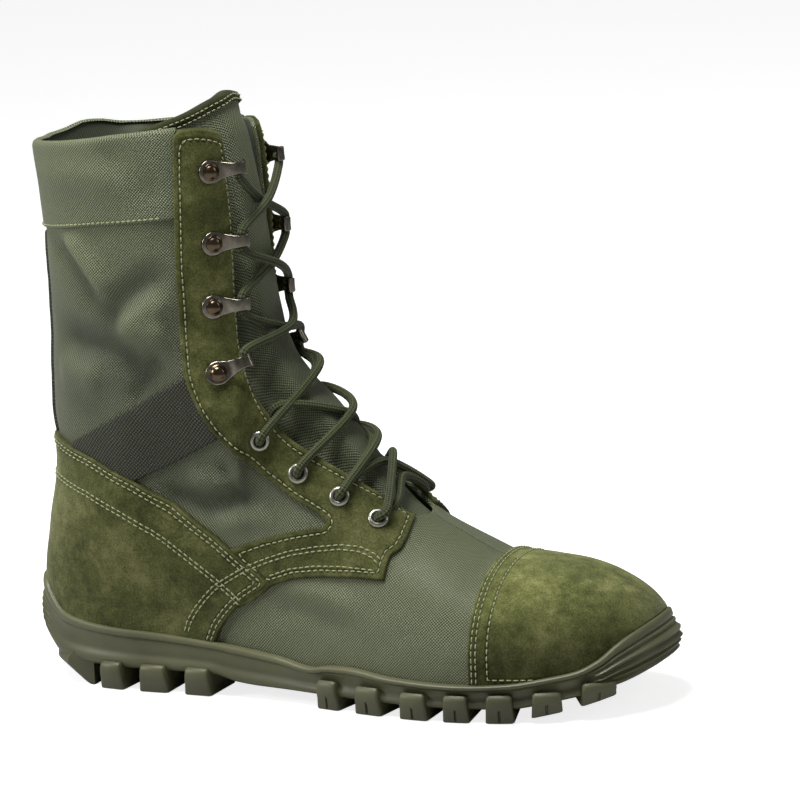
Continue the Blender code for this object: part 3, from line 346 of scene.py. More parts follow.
def skin_grid():
    """Points and normals of the outer surface, closed all round: lower edge, rim, opening."""
    ribs = [curve_through(RIBS, k)(np.linspace(0, LAST_RIB, HALF + 1)) for k in range(1, 7)]
    share, open_x, gap, open_z, eye_x, eye_z = ribs
    halves = []
    for side in (-1, 1):
        swing = np.linspace(0, 1, LOW_STEPS)
        x = UPPER_TIP - (UPPER_TIP - float(back_line(LOW_EDGE))) * (1 - np.cos(math.pi * swing)) / 2
        y = centre_line(x) + side * form_half_width(x, np.full(LOW_STEPS, LOW_EDGE), side)
        y[0] = centre_line(UPPER_TIP)
        y[-1] = 0.0
        run = run_along(np.stack([x, y], -1))
        low_x = np.interp(share, run / run[-1], x)
        low_y = np.interp(share, run / run[-1], y)
        low = np.stack([low_x, low_y, cup_floor(low_x) + FLOOR_GAP], -1)
        low_eye = np.clip(low_x, *LOW_EYE)
        low_eye = np.stack([low_eye, centre_line(low_eye), low[:, 2]], -1)
        high = np.stack([open_x, side * gap, open_z], -1)
        high_eye = np.stack([eye_x, 0 * eye_x, eye_z], -1)
        height = np.linspace(0, 1, RIB_STEPS)[:, None, None]
        v = np.concatenate([height ** RIB_TURN, height ** RIB_TURN, height], -1)
        points, normals = reach_surface(low_eye * (1 - v) + high_eye * v, low * (1 - v) + high * v)
        even = np.empty((2, ROWS + 1, HALF + 1, 3))
        for j in range(HALF + 1):
            rib = points[:, j]
            length = run_along(rib)
            above = rib[:, 2] - rim_line(rib[:, 0])
            k = int(np.argmax(above > 0))
            t = above[k - 1] / (above[k - 1] - above[k])
            rim = length[k - 1] + t * (length[k] - length[k - 1])
            stops = np.concatenate([[0], np.linspace(rim, length[-1], ROWS)])
            for axis in range(3):
                even[0, :, j, axis] = np.interp(stops, length, rib[:, axis])
                even[1, :, j, axis] = np.interp(stops, length, normals[:, j, axis])
        halves.append(even)
    grid, normals = np.concatenate([halves[0], halves[1][:, :, -2:0:-1]], axis=2)
    for _ in range(6):
        normals = normals * 2 + np.roll(normals, 1, 1) + np.roll(normals, -1, 1)
        normals[1:-1] = normals[1:-1] * 2 + normals[2:] + normals[:-2]
        normals /= np.linalg.norm(normals, axis=-1, keepdims=True)
    return grid, normals


def off_line(points, line):
    """Distance of side-view points to a broken line, and the place along it from 0 to 1."""
    line = np.array(line, float)
    start = run_along(line)
    lengths = np.diff(start)
    nearest = np.full(len(points), 1e9)
    place = np.zeros(len(points))
    for k, (a, b) in enumerate(zip(line, line[1:])):
        t = np.clip((points - a) @ (b - a) / lengths[k] ** 2, 0, 1)
        away = np.linalg.norm(points - a - t[:, None] * (b - a), axis=1)
        closer = away < nearest
        nearest = np.where(closer, away, nearest)
        place = np.where(closer, (start[k] + t * lengths[k]) / start[-1], place)
    return nearest, place


def fold_height(points, side):
    """How far the folds lift or sink the cloth at side-view points."""
    height = np.zeros(len(points))
    for fold_side, depth, width, line in FOLDS:
        away, place = off_line(points, line)
        fade = eased(place / 0.25) * eased((1 - place) / 0.25)
        height += np.where(side == fold_side, FOLD_GAIN * depth * fade * np.exp(-(away / width) ** 2), 0)
    x, z = points.T
    slack = np.sin(x / 5.3 + 1.7 * np.sin(z / 9.1)) * np.sin(z / 6.1 + 1.3 * np.sin(x / 7.7 + 2.0))
    return height + SLACK * slack


def grid_faces(rows, columns, first=0):
    """Quads of a grid that is closed along its rows."""
    faces = []
    for i in range(rows - 1):
        for j in range(columns):
            n = (j + 1) % columns
            faces.append([first + i * columns + j, first + i * columns + n,
                          first + (i + 1) * columns + n, first + (i + 1) * columns + j])
    return faces


def make_piece(name, points, faces, finishes, node, uv=None, edge=None, relief=None, face_finish=None):
    """A mesh piece from millimetre points that stands for CAD nodes and rides with the boot."""
    mesh = bpy.data.meshes.new(name)
    mesh.from_pydata([world(p) for p in points], [], [tuple(f) for f in faces])
    if uv is not None:
        layer = mesh.uv_layers.new(name="cloth")
        corner = np.empty(len(mesh.loops), int)
        mesh.loops.foreach_get("vertex_index", corner)
        layer.data.foreach_set("uv", np.asarray(uv, float)[corner].ravel())
    if edge is not None:
        store = mesh.attributes.new("edge", "FLOAT", "POINT")
        store.data.foreach_set("value", np.asarray(edge, float))
    if relief is not None:
        store = mesh.attributes.new("relief", "FLOAT", "POINT")
        store.data.foreach_set("value", np.asarray(relief, float))
    for finish in finishes:
        mesh.materials.append(finish)
    if face_finish is not None:
        mesh.polygons.foreach_set("material_index", face_finish)
    work = bmesh.new()
    work.from_mesh(mesh)
    bmesh.ops.remove_doubles(work, verts=work.verts, dist=2e-7)
    bmesh.ops.recalc_face_normals(work, faces=work.faces)
    work.to_mesh(mesh)
    work.free()
    mesh.shade_smooth()
    piece = bpy.data.objects.new(name, mesh)
    bpy.context.collection.objects.link(piece)
    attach(piece, "root")
    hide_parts(*([node] if isinstance(node, str) else node))
    return piece


# Painted shade darkens the cloth round the ankle and painted light brightens it near the shaft's top: from
# height, to height, tone below, tone above
SHAFT_PAINTED_SHADE_AND_LIGHT = [(0.066, 0.094, 1.0, 0.75), (0.150, 0.206, 1.0, 1.44)]


def own_place(tree):
    return add(tree, "TexCoord").outputs["Object"]


def noise(tree, place, scale, detail, **inputs):
    """A cloudy value from 0 to 1."""
    return add(tree, "TexNoise", {"Vector": place, "Scale": scale, "Detail": detail, **inputs}).outputs["Fac"]


def ranged(tree, value, source, target=(0.0, 1.0), **settings):
    """A value carried from one range of numbers to another."""
    return add(tree, "MapRange", {"Value": value, "From Min": source[0], "From Max": source[1],
                                  "To Min": target[0], "To Max": target[1]}, **settings).outputs[0]


def by_height(tree, low, high, below, above):
    """A value that changes softly between two heights."""
    height = add(tree, "SeparateXYZ", {"Vector": own_place(tree)}).outputs["Z"]
    return ranged(tree, height, (low, high), (below, above), interpolation_type="SMOOTHSTEP")


def scaled(tree, tone, share):
    return add(tree, "VectorMath", {0: tone, "Scale": share}, operation="SCALE").outputs[0]


def two_toned(tree, share, first, second):
    """A colour between two; a plain colour is given as three numbers."""
    first, second = [(*c, 1) if isinstance(c, (tuple, list)) else c for c in (first, second)]
    return add(tree, "MixRGB", {"Fac": share, "Color1": first, "Color2": second}).outputs[0]


def bumped(tree, shader, height, strength, distance, under=None):
    """Shades a height as fine relief, over relief that is there already if given."""
    wires = {"Height": height, "Strength": strength, "Distance": distance}
    if under is not None:
        wires["Normal"] = under
    relief = add(tree, "Bump", wires).outputs[0]
    tree.links.new(relief, shader.inputs["Normal"])
    return relief


def woven(name, thread, shade, pitch, relief, roughness, gaps=-0.55):
    """Plain woven cloth: over and under threads from the cloth's own lengthwise and cross axes."""
    cloth, tree, shader = new_finish(name, Roughness=roughness, Specular_IOR_Level=0.45,
                                     Sheen_Weight=0.06, Sheen_Roughness=0.4)
    place = add(tree, "UVMap", uv_map="cloth").outputs["UV"]
    wobble = add(tree, "TexNoise", {"Vector": place, "Scale": 0.09, "Detail": 2.0}).outputs["Color"]
    drawn = add(tree, "VectorMath", {0: place, 1: scaled(tree, wobble, 1.6)}, operation="ADD")
    axes = add(tree, "SeparateXYZ", {"Vector": drawn.outputs[0]})
    waves = [calc(tree, "SINE", calc(tree, "MULTIPLY", axes.outputs[axis], math.pi / pitch))
             for axis in ("X", "Y")]
    weave = ranged(tree, calc(tree, "MULTIPLY", *waves), (gaps, 0.65))
    cloud = noise(tree, own_place(tree), 28.0, 3.0)
    clouded = two_toned(tree, cloud, [c * 0.86 for c in thread], [c * 1.14 for c in thread])
    tone = two_toned(tree, weave, shade, clouded)
    # Painted shade in the folds' troughs and painted highlight on their ridges, then the painted shade and
    # light by height; worn carries all of it
    fold = add(tree, "Attribute", attribute_name="relief").outputs["Fac"]
    worn = ranged(tree, fold, (-4.0, 4.0), (0.62, 1.38))
    for band in SHAFT_PAINTED_SHADE_AND_LIGHT:
        worn = calc(tree, "MULTIPLY", worn, by_height(tree, *band))
    tree.links.new(scaled(tree, tone, worn), shader.inputs["Base Color"])
    bumped(tree, shader, weave, relief, 0.00025)
    return cloth


SKIN, SKIN_NORMAL = skin_grid()
STATIONS = SKIN.shape[1]
flat = SKIN.reshape(-1, 3)
side_of = np.where(flat[:, 1] < centre_line(flat[:, 0]), -1, 1)
FOLD_RELIEF = fold_height(flat[:, [0, 2]], side_of).reshape(ROWS + 1, STATIONS)
FOLDED = SKIN + SKIN_NORMAL * FOLD_RELIEF[..., None]
near_rim, near_corner = [np.clip((SKIN[..., 2] - start) / length, 0, 1) ** power
                         for start, length, power in (RIM_SHAPING, CORNER_SHAPING)]
FOLDED[..., 2] += curve_through(INNER_RIM)(SKIN[..., 0]) * near_rim * (SKIN[..., 1] > 0)
corner_x, corner_length, corner_drop = TOP_CORNER
FOLDED[..., 2] -= corner_drop * near_corner * np.clip((SKIN[..., 0] - corner_x) / corner_length, 0, 1) ** 2.2


def grid_normals(points):
    """Smooth outward directions of a grid closed along its rows."""
    along = np.roll(points, -1, 1) - np.roll(points, 1, 1)
    normals = np.cross(np.gradient(points, axis=0), along)
    return normals / np.linalg.norm(normals, axis=-1, keepdims=True)


FOLDED_NORMAL = SKIN_NORMAL * FORM_NORMAL + grid_normals(FOLDED) * (1 - FORM_NORMAL)
FOLDED_NORMAL /= np.linalg.norm(FOLDED_NORMAL, axis=-1, keepdims=True)

# The rolled edge of the opening, then the lining down to the insole
climb = FOLDED[-1] - FOLDED[-2]
climb /= np.linalg.norm(climb, axis=-1, keepdims=True)
ROLL_RADIUS = WALL / 2
roll_points = []
roll_normals = []
for k in range(1, ROLL + 1):
    angle = math.pi * k / (ROLL + 1)
    roll_points.append(FOLDED[-1] - FOLDED_NORMAL[-1] * ROLL_RADIUS * (1 - math.cos(angle))
                       + climb * ROLL_RADIUS * math.sin(angle))
    roll_normals.append(FOLDED_NORMAL[-1] * math.cos(angle) + climb * math.sin(angle))
SHEET = np.concatenate([FOLDED, roll_points])
SHEET_NORMAL = np.concatenate([FOLDED_NORMAL, roll_normals])
SHEET_BASE = np.concatenate([SKIN, np.repeat(SKIN[-1:], ROLL, 0)])
lining_rows = [FOLDED[i] - FOLDED_NORMAL[i] * WALL for i in range(ROWS, -1, -3)]
lining_rows.append(SKIN[0] - SKIN_NORMAL[0] * WALL)


def mapped(first, second, lengths, at_first, at_second):
    """Values of a table of lengths between its even stops."""
    f = np.clip((at_first - first[0]) / (first[-1] - first[0]), 0, 1) * (len(first) - 1.001)
    g = np.clip((at_second - second[0]) / (second[-1] - second[0]), 0, 1) * (len(second) - 1.001)
    i, j = f.astype(int), g.astype(int)
    f, g = f - i, g - j
    return (lengths[i, j] * (1 - f) * (1 - g) + lengths[i + 1, j] * f * (1 - g)
            + lengths[i, j + 1] * (1 - f) * g + lengths[i + 1, j + 1] * f * g)


def girth(eyes, ways, level=None):
    """Lengths over the form along fans of rays, one fan for each eye, from a level if given."""
    points, _ = reach_surface(*np.broadcast_arrays(eyes, eyes + ways))
    steps = np.linalg.norm(np.diff(points, axis=1), axis=-1)
    lengths = np.concatenate([np.zeros((len(points), 1)), np.cumsum(steps, axis=1)], axis=1)
    if level is not None:
        for row, heights in zip(lengths, points[..., 2]):
            row -= np.interp(-level, -heights, row)
    return lengths


# The weave of the shaft runs level from the back seam, and the vamp's along the sole
VAMP_LEVEL = 36.0
LEG_AXIS = 66.0           # x of the upright line that the shaft's threads are measured round
VAMP_AXIS = 20.0          # height of the level line for the vamp's threads
VAMP_FAN = 1.7
swings = np.linspace(0, math.pi, 91)
levels_z = np.linspace(20, 262, 80)
leg_eye = np.stack([0 * levels_z + LEG_AXIS, 0 * levels_z, levels_z], -1)[:, None]
vamp_x = np.linspace(90, 288, 80)
vamp_eye = np.stack([vamp_x, centre_line(vamp_x), 0 * vamp_x + VAMP_AXIS], -1)[:, None]
leg_girth = {}
vamp_girth = {}
for side in (-1, 1):
    level_ways = np.stack([-np.cos(swings), side * np.sin(swings), 0 * swings], -1)[None]
    cross_ways = np.stack([0 * swings, side * np.sin(swings / VAMP_FAN), np.cos(swings / VAMP_FAN)],
                         -1)[None]
    leg_girth[side] = girth(leg_eye, level_ways)
    vamp_girth[side] = girth(vamp_eye, cross_ways, VAMP_LEVEL)
# Side-view line between the vamp's cloth and the shaft's, hidden by the facing's arm: x, height
VAMP_LINE = [(90, 0.0), (95, 24.0), (102, 38.0), (111, 46.0), (121, 53.0), (130, 58.0), (150, 65.0),
             (178, 61.5), (185, 120.0), (300, 120.0)]


def weave_place(points):
    """Lengths along the threads, in millimetres, for points on the form."""
    x, y, z = points.T
    side = np.where(y < centre_line(x), -1, 1)
    swing = np.arctan2(np.abs(y), LEG_AXIS - x)
    cross = np.arctan2(np.abs(y - centre_line(x)), z - VAMP_AXIS) * VAMP_FAN
    leg, foot = [np.where(side < 0, *[mapped(stops, swings, lengths[way], place, turn) for way in (-1, 1)])
                 for stops, lengths, place, turn in ((levels_z, leg_girth, z, swing),
                                                     (vamp_x, vamp_girth, x, cross))]
    line_x, line_z = np.array(VAMP_LINE).T
    in_vamp = z < np.interp(x, line_x, line_z)
    return np.where(in_vamp, x, side * leg), np.where(in_vamp, side * foot, z)


# Lengths along the cloth round the boot from the back seam, and up each rib
step_round = np.linalg.norm(np.roll(SHEET, -1, 1) - SHEET, axis=-1)
CLOTH_ROUND = np.zeros(SHEET.shape[:2])
CLOTH_ROUND[:, HALF + 1:] = np.cumsum(step_round[:, HALF:-1], axis=1)
CLOTH_ROUND[:, :HALF] = -np.cumsum(step_round[:, :HALF][:, ::-1], axis=1)[:, ::-1]
CLOTH_UP = np.concatenate([np.zeros((1, STATIONS)),
                           np.cumsum(np.linalg.norm(np.diff(SHEET, axis=0), axis=-1), axis=0)])

nylon = woven("olive nylon", (0.225, 0.250, 0.135), (0.022, 0.030, 0.010), 0.66, 1.0, 0.46)
lining = woven("lining", (0.10, 0.115, 0.07), (0.05, 0.06, 0.035), 0.5, 0.3, 0.8)
upper_rows = np.concatenate([SHEET, np.array(lining_rows)])
upper_faces = grid_faces(len(upper_rows), STATIONS)
last = (len(upper_rows) - 1) * STATIONS
upper_faces += [[last + j, last + (j + 1) % STATIONS, (j + 1) % STATIONS, j] for j in range(STATIONS)]
in_lining = [int(k >= (len(SHEET) - 1) * STATIONS) for k in range(len(upper_faces))]
lining_up = CLOTH_UP[-1:] + 3.6 * np.arange(1, len(lining_rows) + 1)[:, None]
WEAVE = np.stack(weave_place(SHEET_BASE.reshape(-1, 3)), -1)
WEAVE[-ROLL * STATIONS:, 1] += (CLOTH_UP[-ROLL:] - CLOTH_UP[ROWS:ROWS + 1]).reshape(-1)
lining_uv = np.stack([np.repeat(CLOTH_ROUND[-1:], len(lining_rows), 0), lining_up], -1)
upper_uv = np.concatenate([WEAVE, lining_uv.reshape(-1, 2)])
upper_relief = np.zeros(upper_rows.shape[:2])
upper_relief[:ROWS + 1] = FOLD_RELIEF
make_piece("upper_cloth", upper_rows.reshape(-1, 3), upper_faces, [nylon, lining], "upper",
           uv=upper_uv, relief=upper_relief.ravel(), face_finish=in_lining)


# SUEDE PARTS
# Brushed split suede 1.5 mm thick, cut with raw edges and sewn flat on the cloth: the heel
# counter laps over the facings' lower arms, and the toe cap covers the vamp's end.
SUEDE = 1.5
EDGE_ROUND = 0.9          # radius that the knife-cut edge wears to
COUNTER_OUTLINE = [(-30, 110.5), (14, 110.0), (24, 108.5), (43, 103.5), (65, 94.0), (83, 84.5),
                   (102, 71.5), (117, 59.5), (127.5, 51.8), (123.7, 49.0), (116.5, 44.5), (110.8, 40.0),
                   (106.2, 35.2), (102.5, 30.5), (99.5, 24.0), (99.0, -10.0), (-30, -10.0)]
EYESTAY_OUTLINE = [(94.5, 270.0), (93.2, 215.0), (92.2, 187.0), (92.2, 157.0), (93.0, 142.0),
                   (95.6, 133.5), (99.0, 125.0), (104.5, 116.0), (114.5, 105.5), (124.0, 97.0),
                   (137.0, 88.0), (151.5, 80.2), (153.3, 78.4), (152.0, 76.6), (146.0, 75.8),
                   (137.3, 74.2), (124.2, 70.8), (112.6, 66.9), (90.0, 60.0), (90.0, 30.0),
                   (118.0, 43.0), (129.0, 51.0), (140.0, 54.6), (152.0, 56.2), (166.8, 56.8),
                   (182.2, 56.4), (182.4, 62.0), (183.2, 65.6), (186.6, 68.0), (187.3, 72.0),
                   (187.0, 76.0), (184.0, 90.0), (150.0, 270.0)]
CAP_SEAM = [(220.8, 120.0), (221.6, 50.0), (221.2, 10.0), (340.0, 10.0), (340.0, 120.0)]


def inside_outline(points, outline):
    """Signed distance of side-view points to a closed outline, above zero inside it."""
    corners = np.array(outline + outline[:1], float)
    away, _ = off_line(points, corners)
    inside = np.zeros(len(points), bool)
    for a, b in zip(corners, corners[1:]):
        straddles = (a[1] > points[:, 1]) != (b[1] > points[:, 1])
        rise = b[1] - a[1] if b[1] != a[1] else 1.0
        crossing = a[0] + (points[:, 1] - a[1]) / rise * (b[0] - a[0])
        inside ^= straddles & (points[:, 0] < crossing)
    return np.where(inside, away, -away)


BASE = SHEET_BASE.reshape(-1, 3)
OUTSIDE = -9.0            # distance given to points that a panel never reaches
BASE_SIDE = np.where(BASE[:, 1] < centre_line(BASE[:, 0]), -1, 1)


def on_the_cloth(outline):
    """Distance inside an outline along the cloth, for each point of the sheet."""
    away = inside_outline(BASE[:, [0, 2]], outline)
    slope = np.stack([inside_outline(BASE[:, [0, 2]] + [0.4 * (k == 0), 0.4 * (k == 1)], outline)
                      for k in (0, 1)], -1) - away[:, None]
    slope /= np.maximum(np.linalg.norm(slope, axis=1, keepdims=True), 1e-9)
    normal = SHEET_NORMAL.reshape(-1, 3)
    into = slope[:, 0] * normal[:, 0] + slope[:, 1] * normal[:, 2]
    return away / np.sqrt(np.maximum(1 - into ** 2, 0.12))


EDGE = 8                  # column of a panel's table: 0-2 point, 3-5 normal, 6-7 cloth, edge


def split_at(table, faces, level):
    """Cuts the faces that cross a distance from the edge, with new points on it."""
    value = table[:, EDGE] - level
    fresh = []
    cuts = {}
    count = len(table)
    done = []
    for face in faces:
        own = [value[k] for k in face]
        if min(own) >= 0 or max(own) <= 0:
            done.append(face)
            continue
        above, below = [], []
        for k, a in enumerate(face):
            b = face[(k + 1) % len(face)]
            if value[a] >= 0:
                above.append(a)
            if value[a] <= 0:
                below.append(a)
            if value[a] * value[b] < 0:
                key = (min(a, b), max(a, b))
                if key not in cuts:
                    t = value[a] / (value[a] - value[b])
                    cuts[key] = count + len(fresh)
                    fresh.append(table[a] * (1 - t) + table[b] * t)
                above.append(cuts[key])
                below.append(cuts[key])
        done += [part for part in (above, below) if len(part) > 2]
    return (np.concatenate([table, fresh]) if fresh else table), done


ROLL_SHARE = 0.62         # so that a row of stitches keeps clear of the rolled edge
TO_OPENING = (CLOTH_UP[ROWS:ROWS + 1] - CLOTH_UP).reshape(-1)


def cut_out(edge, thickness, levels=(0.0, 0.2, 0.55, 0.9), worn=EDGE_ROUND, sunk=GAP + 0.15):
    """Sheet material from where a distance is above 0, rising from its edge: table and faces."""
    table = np.concatenate([SHEET.reshape(-1, 3), SHEET_NORMAL.reshape(-1, 3), WEAVE, edge[:, None]], 1)
    faces = [f for f in grid_faces(len(SHEET) - 1, STATIONS, STATIONS) if max(edge[f]) > 0]
    faces.sort(key=lambda f: abs(f[1] - f[0]) != 1)
    for level in levels:
        table, faces = split_at(table, faces, level)
        faces = [f for f in faces if np.mean(table[f, EDGE]) > 0]
    inset = np.clip(1 - np.maximum(table[:, EDGE], 0) / worn, 0, 1)
    height = GAP + thickness * np.sqrt(1 - inset ** 2) - sunk * (table[:, EDGE] < 0.01)
    table[:, 0:3] += table[:, 3:6] * height[:, None]
    return table, faces


def panel_edge(outline, side=0, hidden=(), over_edge=None):
    """Distance inside a panel: one side alone, tucked under others, or over the rolled edge."""
    edge = on_the_cloth(outline)
    if over_edge is not None:
        edge = np.minimum(edge, (TO_OPENING + over_edge) * ROLL_SHARE)
    for other, reach in hidden:
        edge = np.minimum(edge, reach - on_the_cloth(other))
    if side:
        edge = np.where(BASE_SIDE == side, edge, OUTSIDE)
        edge = np.where(np.abs(BASE[:, 1] - centre_line(BASE[:, 0])) < 0.5, OUTSIDE, edge)
    return edge


def ramped(tree, share, stops):
    """A colour from a ramp of places and colours."""
    ramp = add(tree, "ValToRGB", {"Fac": share})
    marks = ramp.color_ramp.elements
    marks[0].position, marks[1].position = stops[0][0], stops[-1][0]
    for place, _ in stops[1:-1]:
        marks.new(place)
    for mark, (_, colour) in zip(marks, stops):
        mark.color = (*colour, 1)
    return ramp.outputs[0]


def suede(name, base, dark, light, rows=(), painted_light_by_height=None):
    """Brushed suede: clouded where the nap lies both ways, fine grain, soft sheen."""
    hide, tree, shader = new_finish(name, Roughness=0.95, Specular_IOR_Level=0.12, Sheen_Weight=0.22,
                                    Sheen_Roughness=0.45, Sheen_Tint=(0.7, 0.72, 0.5, 1))
    place = own_place(tree)
    cloud = noise(tree, place, 34.0, 4.0, Roughness=0.6, Distortion=0.8)
    brush = noise(tree, place, 190.0, 4.0, Roughness=0.7)
    grain = noise(tree, place, 1500.0, 2.0, Roughness=0.7)
    mottle = 0.0
    for layer, share in ((cloud, 0.40), (brush, 0.30), (grain, 0.34)):
        mottle = calc(tree, "MULTIPLY_ADD", layer, share, mottle)
    tone = ramped(tree, mottle, ((0.41, dark), (0.53, base), (0.64, light)))
    edge = add(tree, "Attribute", attribute_name="edge").outputs["Fac"]
    # Painted shade along the panel's cut edge
    shade = ranged(tree, edge, (0.05, 0.55), (0.42, 1.0))
    # Painted light by height: lighter towards the top, darker low down
    if painted_light_by_height:
        shade = calc(tree, "MULTIPLY", shade, by_height(tree, *painted_light_by_height))
    relief = bumped(tree, shader, calc(tree, "MULTIPLY_ADD", brush, 0.8, grain), 0.5, 0.0005)
    # Painted shade in the grooves of the stitch rows, on top of their sunk relief
    if rows:
        sunk = 1.0
        for row in rows:
            near = calc(tree, "ABSOLUTE", calc(tree, "SUBTRACT", edge, row))
            dip = ranged(tree, near, (0.0, 1.1), interpolation_type="SMOOTHSTEP")
            sunk = calc(tree, "MINIMUM", dip, sunk)
        shade = calc(tree, "MULTIPLY", shade, ranged(tree, sunk, (0.0, 1.0), (0.62, 1.0)))
        bumped(tree, shader, sunk, 0.8, 0.0006, relief)
    tree.links.new(scaled(tree, tone, shade), shader.inputs["Base Color"])
    return hide


FACING_ROWS = (2.9,)      # stitch rows, by their distance from a panel's edge
COUNTER_ROWS = (2.0, 3.9)
CAP_ROWS = (2.0, 3.8, 8.6)
SUEDE_TONES = ((0.080, 0.086, 0.027), (0.032, 0.037, 0.011), (0.160, 0.160, 0.066))
# Each suede's last numbers give painted light by height: two heights, then the tone below and the tone above
counter_suede = suede("counter suede", *SUEDE_TONES, rows=COUNTER_ROWS, painted_light_by_height=(0.025, 0.09, 0.8, 1.05))
facing_suede = suede("facing suede", *SUEDE_TONES, rows=FACING_ROWS, painted_light_by_height=(0.06, 0.2, 0.85, 1.25))
cap_suede = suede("cap suede", *SUEDE_TONES, rows=CAP_ROWS, painted_light_by_height=(0.024, 0.058, 0.60, 1.80))
binding_suede = suede("binding suede", (0.062, 0.070, 0.024), (0.036, 0.042, 0.014), (0.11, 0.115, 0.05))


def contour(table, faces, column, level):
    """Chains of points where a column crosses a level: position and normal at each."""
    value = table[:, column] - level - 1e-5
    points = {}
    links = {}
    for face in faces:
        ends = []
        for k, a in enumerate(face):
            b = face[(k + 1) % len(face)]
            if (value[a] > 0) != (value[b] > 0):
                key = (min(a, b), max(a, b))
                t = value[a] / (value[a] - value[b])
                points[key] = table[a, 0:6] * (1 - t) + table[b, 0:6] * t
                ends.append(key)
        if len(ends) == 2:
            links.setdefault(ends[0], []).append(ends[1])
            links.setdefault(ends[1], []).append(ends[0])
    chains = []
    unused = set(links)
    for start in sorted(links, key=lambda key: (len(links[key]) != 1, key)):
        if start not in unused:
            continue
        chain = [start]
        unused.discard(start)
        while True:
            ahead = [key for key in links[chain[-1]] if key in unused]
            if not ahead:
                break
            chain.append(ahead[0])
            unused.discard(ahead[0])
        if len(chain) > 3:
            chains.append(np.array([points[key] for key in chain]))
    return chains


THREAD = 0.34             # radius of the sewing thread
STITCH = 3.0              # length from hole to hole
BITE = 0.75               # cloth between two holes
THREAD_BOW = 0.34         # how far a stitch's middle stands above its ends
THREAD_SINK = 0.10


stitch_points = []
stitch_faces = []


def close_block(rows, points, faces):
    """Adds a block from its sections, with both ends closed."""
    first = len(points)
    count = len(rows[0])
    for row in rows:
        points.extend(row)
    faces.extend(grid_faces(len(rows), count, first))
    faces.append(list(range(first, first + count))[::-1])
    faces.append(list(range(len(points) - count, len(points))))


def sew(rows, stitch=STITCH, thread=THREAD):
    """Adds stitches along chains of positions and normals: short bowed lengths of thread."""
    for chain in rows:
        run = run_along(chain[:, :3])
        for k in range(int(run[-1] // stitch)):
            shares = np.linspace(0, 1, 5)
            stops = k * stitch + BITE / 2 + shares * (stitch - BITE)
            mid = np.stack([np.interp(stops, run, chain[:, c]) for c in range(6)], -1)
            along = mid[-1, :3] - mid[0, :3]
            along /= max(np.linalg.norm(along), 1e-6)
            rings = []
            for t, p in zip(shares, mid):
                out = p[3:6] / np.linalg.norm(p[3:6])
                side = np.cross(along, out)
                bow = math.sin(math.pi * t)
                centre = p[:3] + out * (THREAD_BOW * bow - THREAD_SINK)
                radius = thread * (0.62 + 0.38 * bow)
                rings.append([centre + (side * math.cos(turn) + out * math.sin(turn)) * radius
                              for turn in np.arange(6) * math.pi / 3])
            close_block(rings, stitch_points, stitch_faces)


thread_paint, _, _ = new_finish("light thread", Base_Color=(0.30, 0.32, 0.17, 1), Roughness=0.55,
                                Specular_IOR_Level=0.4)


def lay(name, table, faces, node, finish):
    """Makes a piece from a cut panel."""
    used = sorted({k for f in faces for k in f})
    number = {k: n for n, k in enumerate(used)}
    make_piece(name, table[used, :3], [[number[k] for k in f] for f in faces], [finish],
               node, uv=table[used, 6:8], edge=table[used, EDGE])


def place_panel(name, outline, node, finish, slot, thickness, rows=(), **how):
    """Cuts a panel, gives it its finish, and sews it along lines inside its edge."""
    table, faces = cut_out(panel_edge(outline, **how), thickness)
    lay(name, table, faces, node, finish)
    for level in rows:
        sew(contour(table, faces, EDGE, level))
    return table, faces


def sewn_line(table, faces, line, side, offsets=(0.0,)):
    """Chains on a patch along a side-view line, moved across it by each offset."""
    corners = np.array(line, float)
    points = table[:, [0, 2]]
    chains = []
    keep = np.where(table[:, 1] < centre_line(table[:, 0]), -1, 1) == side
    away, place = off_line(points, corners)
    nearest, lean = [np.array([np.interp(place, np.linspace(0, 1, len(corners)), v) for v in values.T]).T
                     for values in (corners, np.gradient(corners, axis=0))]
    off = points - nearest
    signed = np.sign(lean[:, 0] * off[:, 1] - lean[:, 1] * off[:, 0]) * away
    mine = [f for f in faces if keep[f].all() and (place[f] > 0.002).all() and (place[f] < 0.998).all()
            and np.abs(signed[f]).max() < 8]
    measured = np.concatenate([table, signed[:, None]], 1)
    for offset in offsets:
        chains += contour(measured, mine, measured.shape[1] - 1, offset)
    return chains


# The arm's own rows, which also show through the counter: x, height
ARM_MIDDLE = [(112.0, 55.5), (118.3, 58.6), (127.0, 62.1), (137.5, 65.6), (149.3, 68.0), (160.7, 69.3),
              (169.8, 68.8), (176.0, 66.6), (180.2, 63.4)]
ARM_LOW = [(126.0, 52.6), (137.6, 56.9), (149.8, 59.0), (161.8, 59.6), (171.3, 59.2), (180.0, 58.6)]
COUNTER_MIDDLE = [(118.8, 59.1), (113.5, 56.2), (107.5, 52.7), (101.0, 48.7), (95.8, 43.6),
                  (91.0, 38.0), (87.8, 33.0), (85.5, 26.5)]
COUNTER_SECOND = [(6.0, 92.4), (21.8, 90.8), (40.0, 86.4), (58.0, 79.0), (77.2, 69.2), (99.9, 53.0),
                  (109.5, 45.5), (114.0, 41.5)]

for side_name, side in SIDES:
    table, faces = place_panel("eyestay_%s_suede" % side_name, EYESTAY_OUTLINE, "eyestay_" + side_name,
                               facing_suede, "suede", SUEDE, FACING_ROWS,
                               side=side, hidden=((COUNTER_OUTLINE, 2.5),), over_edge=1.0)
    sew(sewn_line(table, faces, ARM_MIDDLE, side, (-0.9, 0.9)))
    sew(sewn_line(table, faces, ARM_LOW, side, (2.0,)))

table, faces = place_panel("heel_counter_suede", COUNTER_OUTLINE, "heel_counter", counter_suede,
                           "suede", SUEDE + 0.6, COUNTER_ROWS)
for side in (-1, 1):
    for line in (COUNTER_MIDDLE, COUNTER_SECOND):
        sew(sewn_line(table, faces, line, side, (-0.9, 0.9)))
place_panel("toe_cap_suede", CAP_SEAM, "toe_cap", cap_suede, "suede", SUEDE, CAP_ROWS)


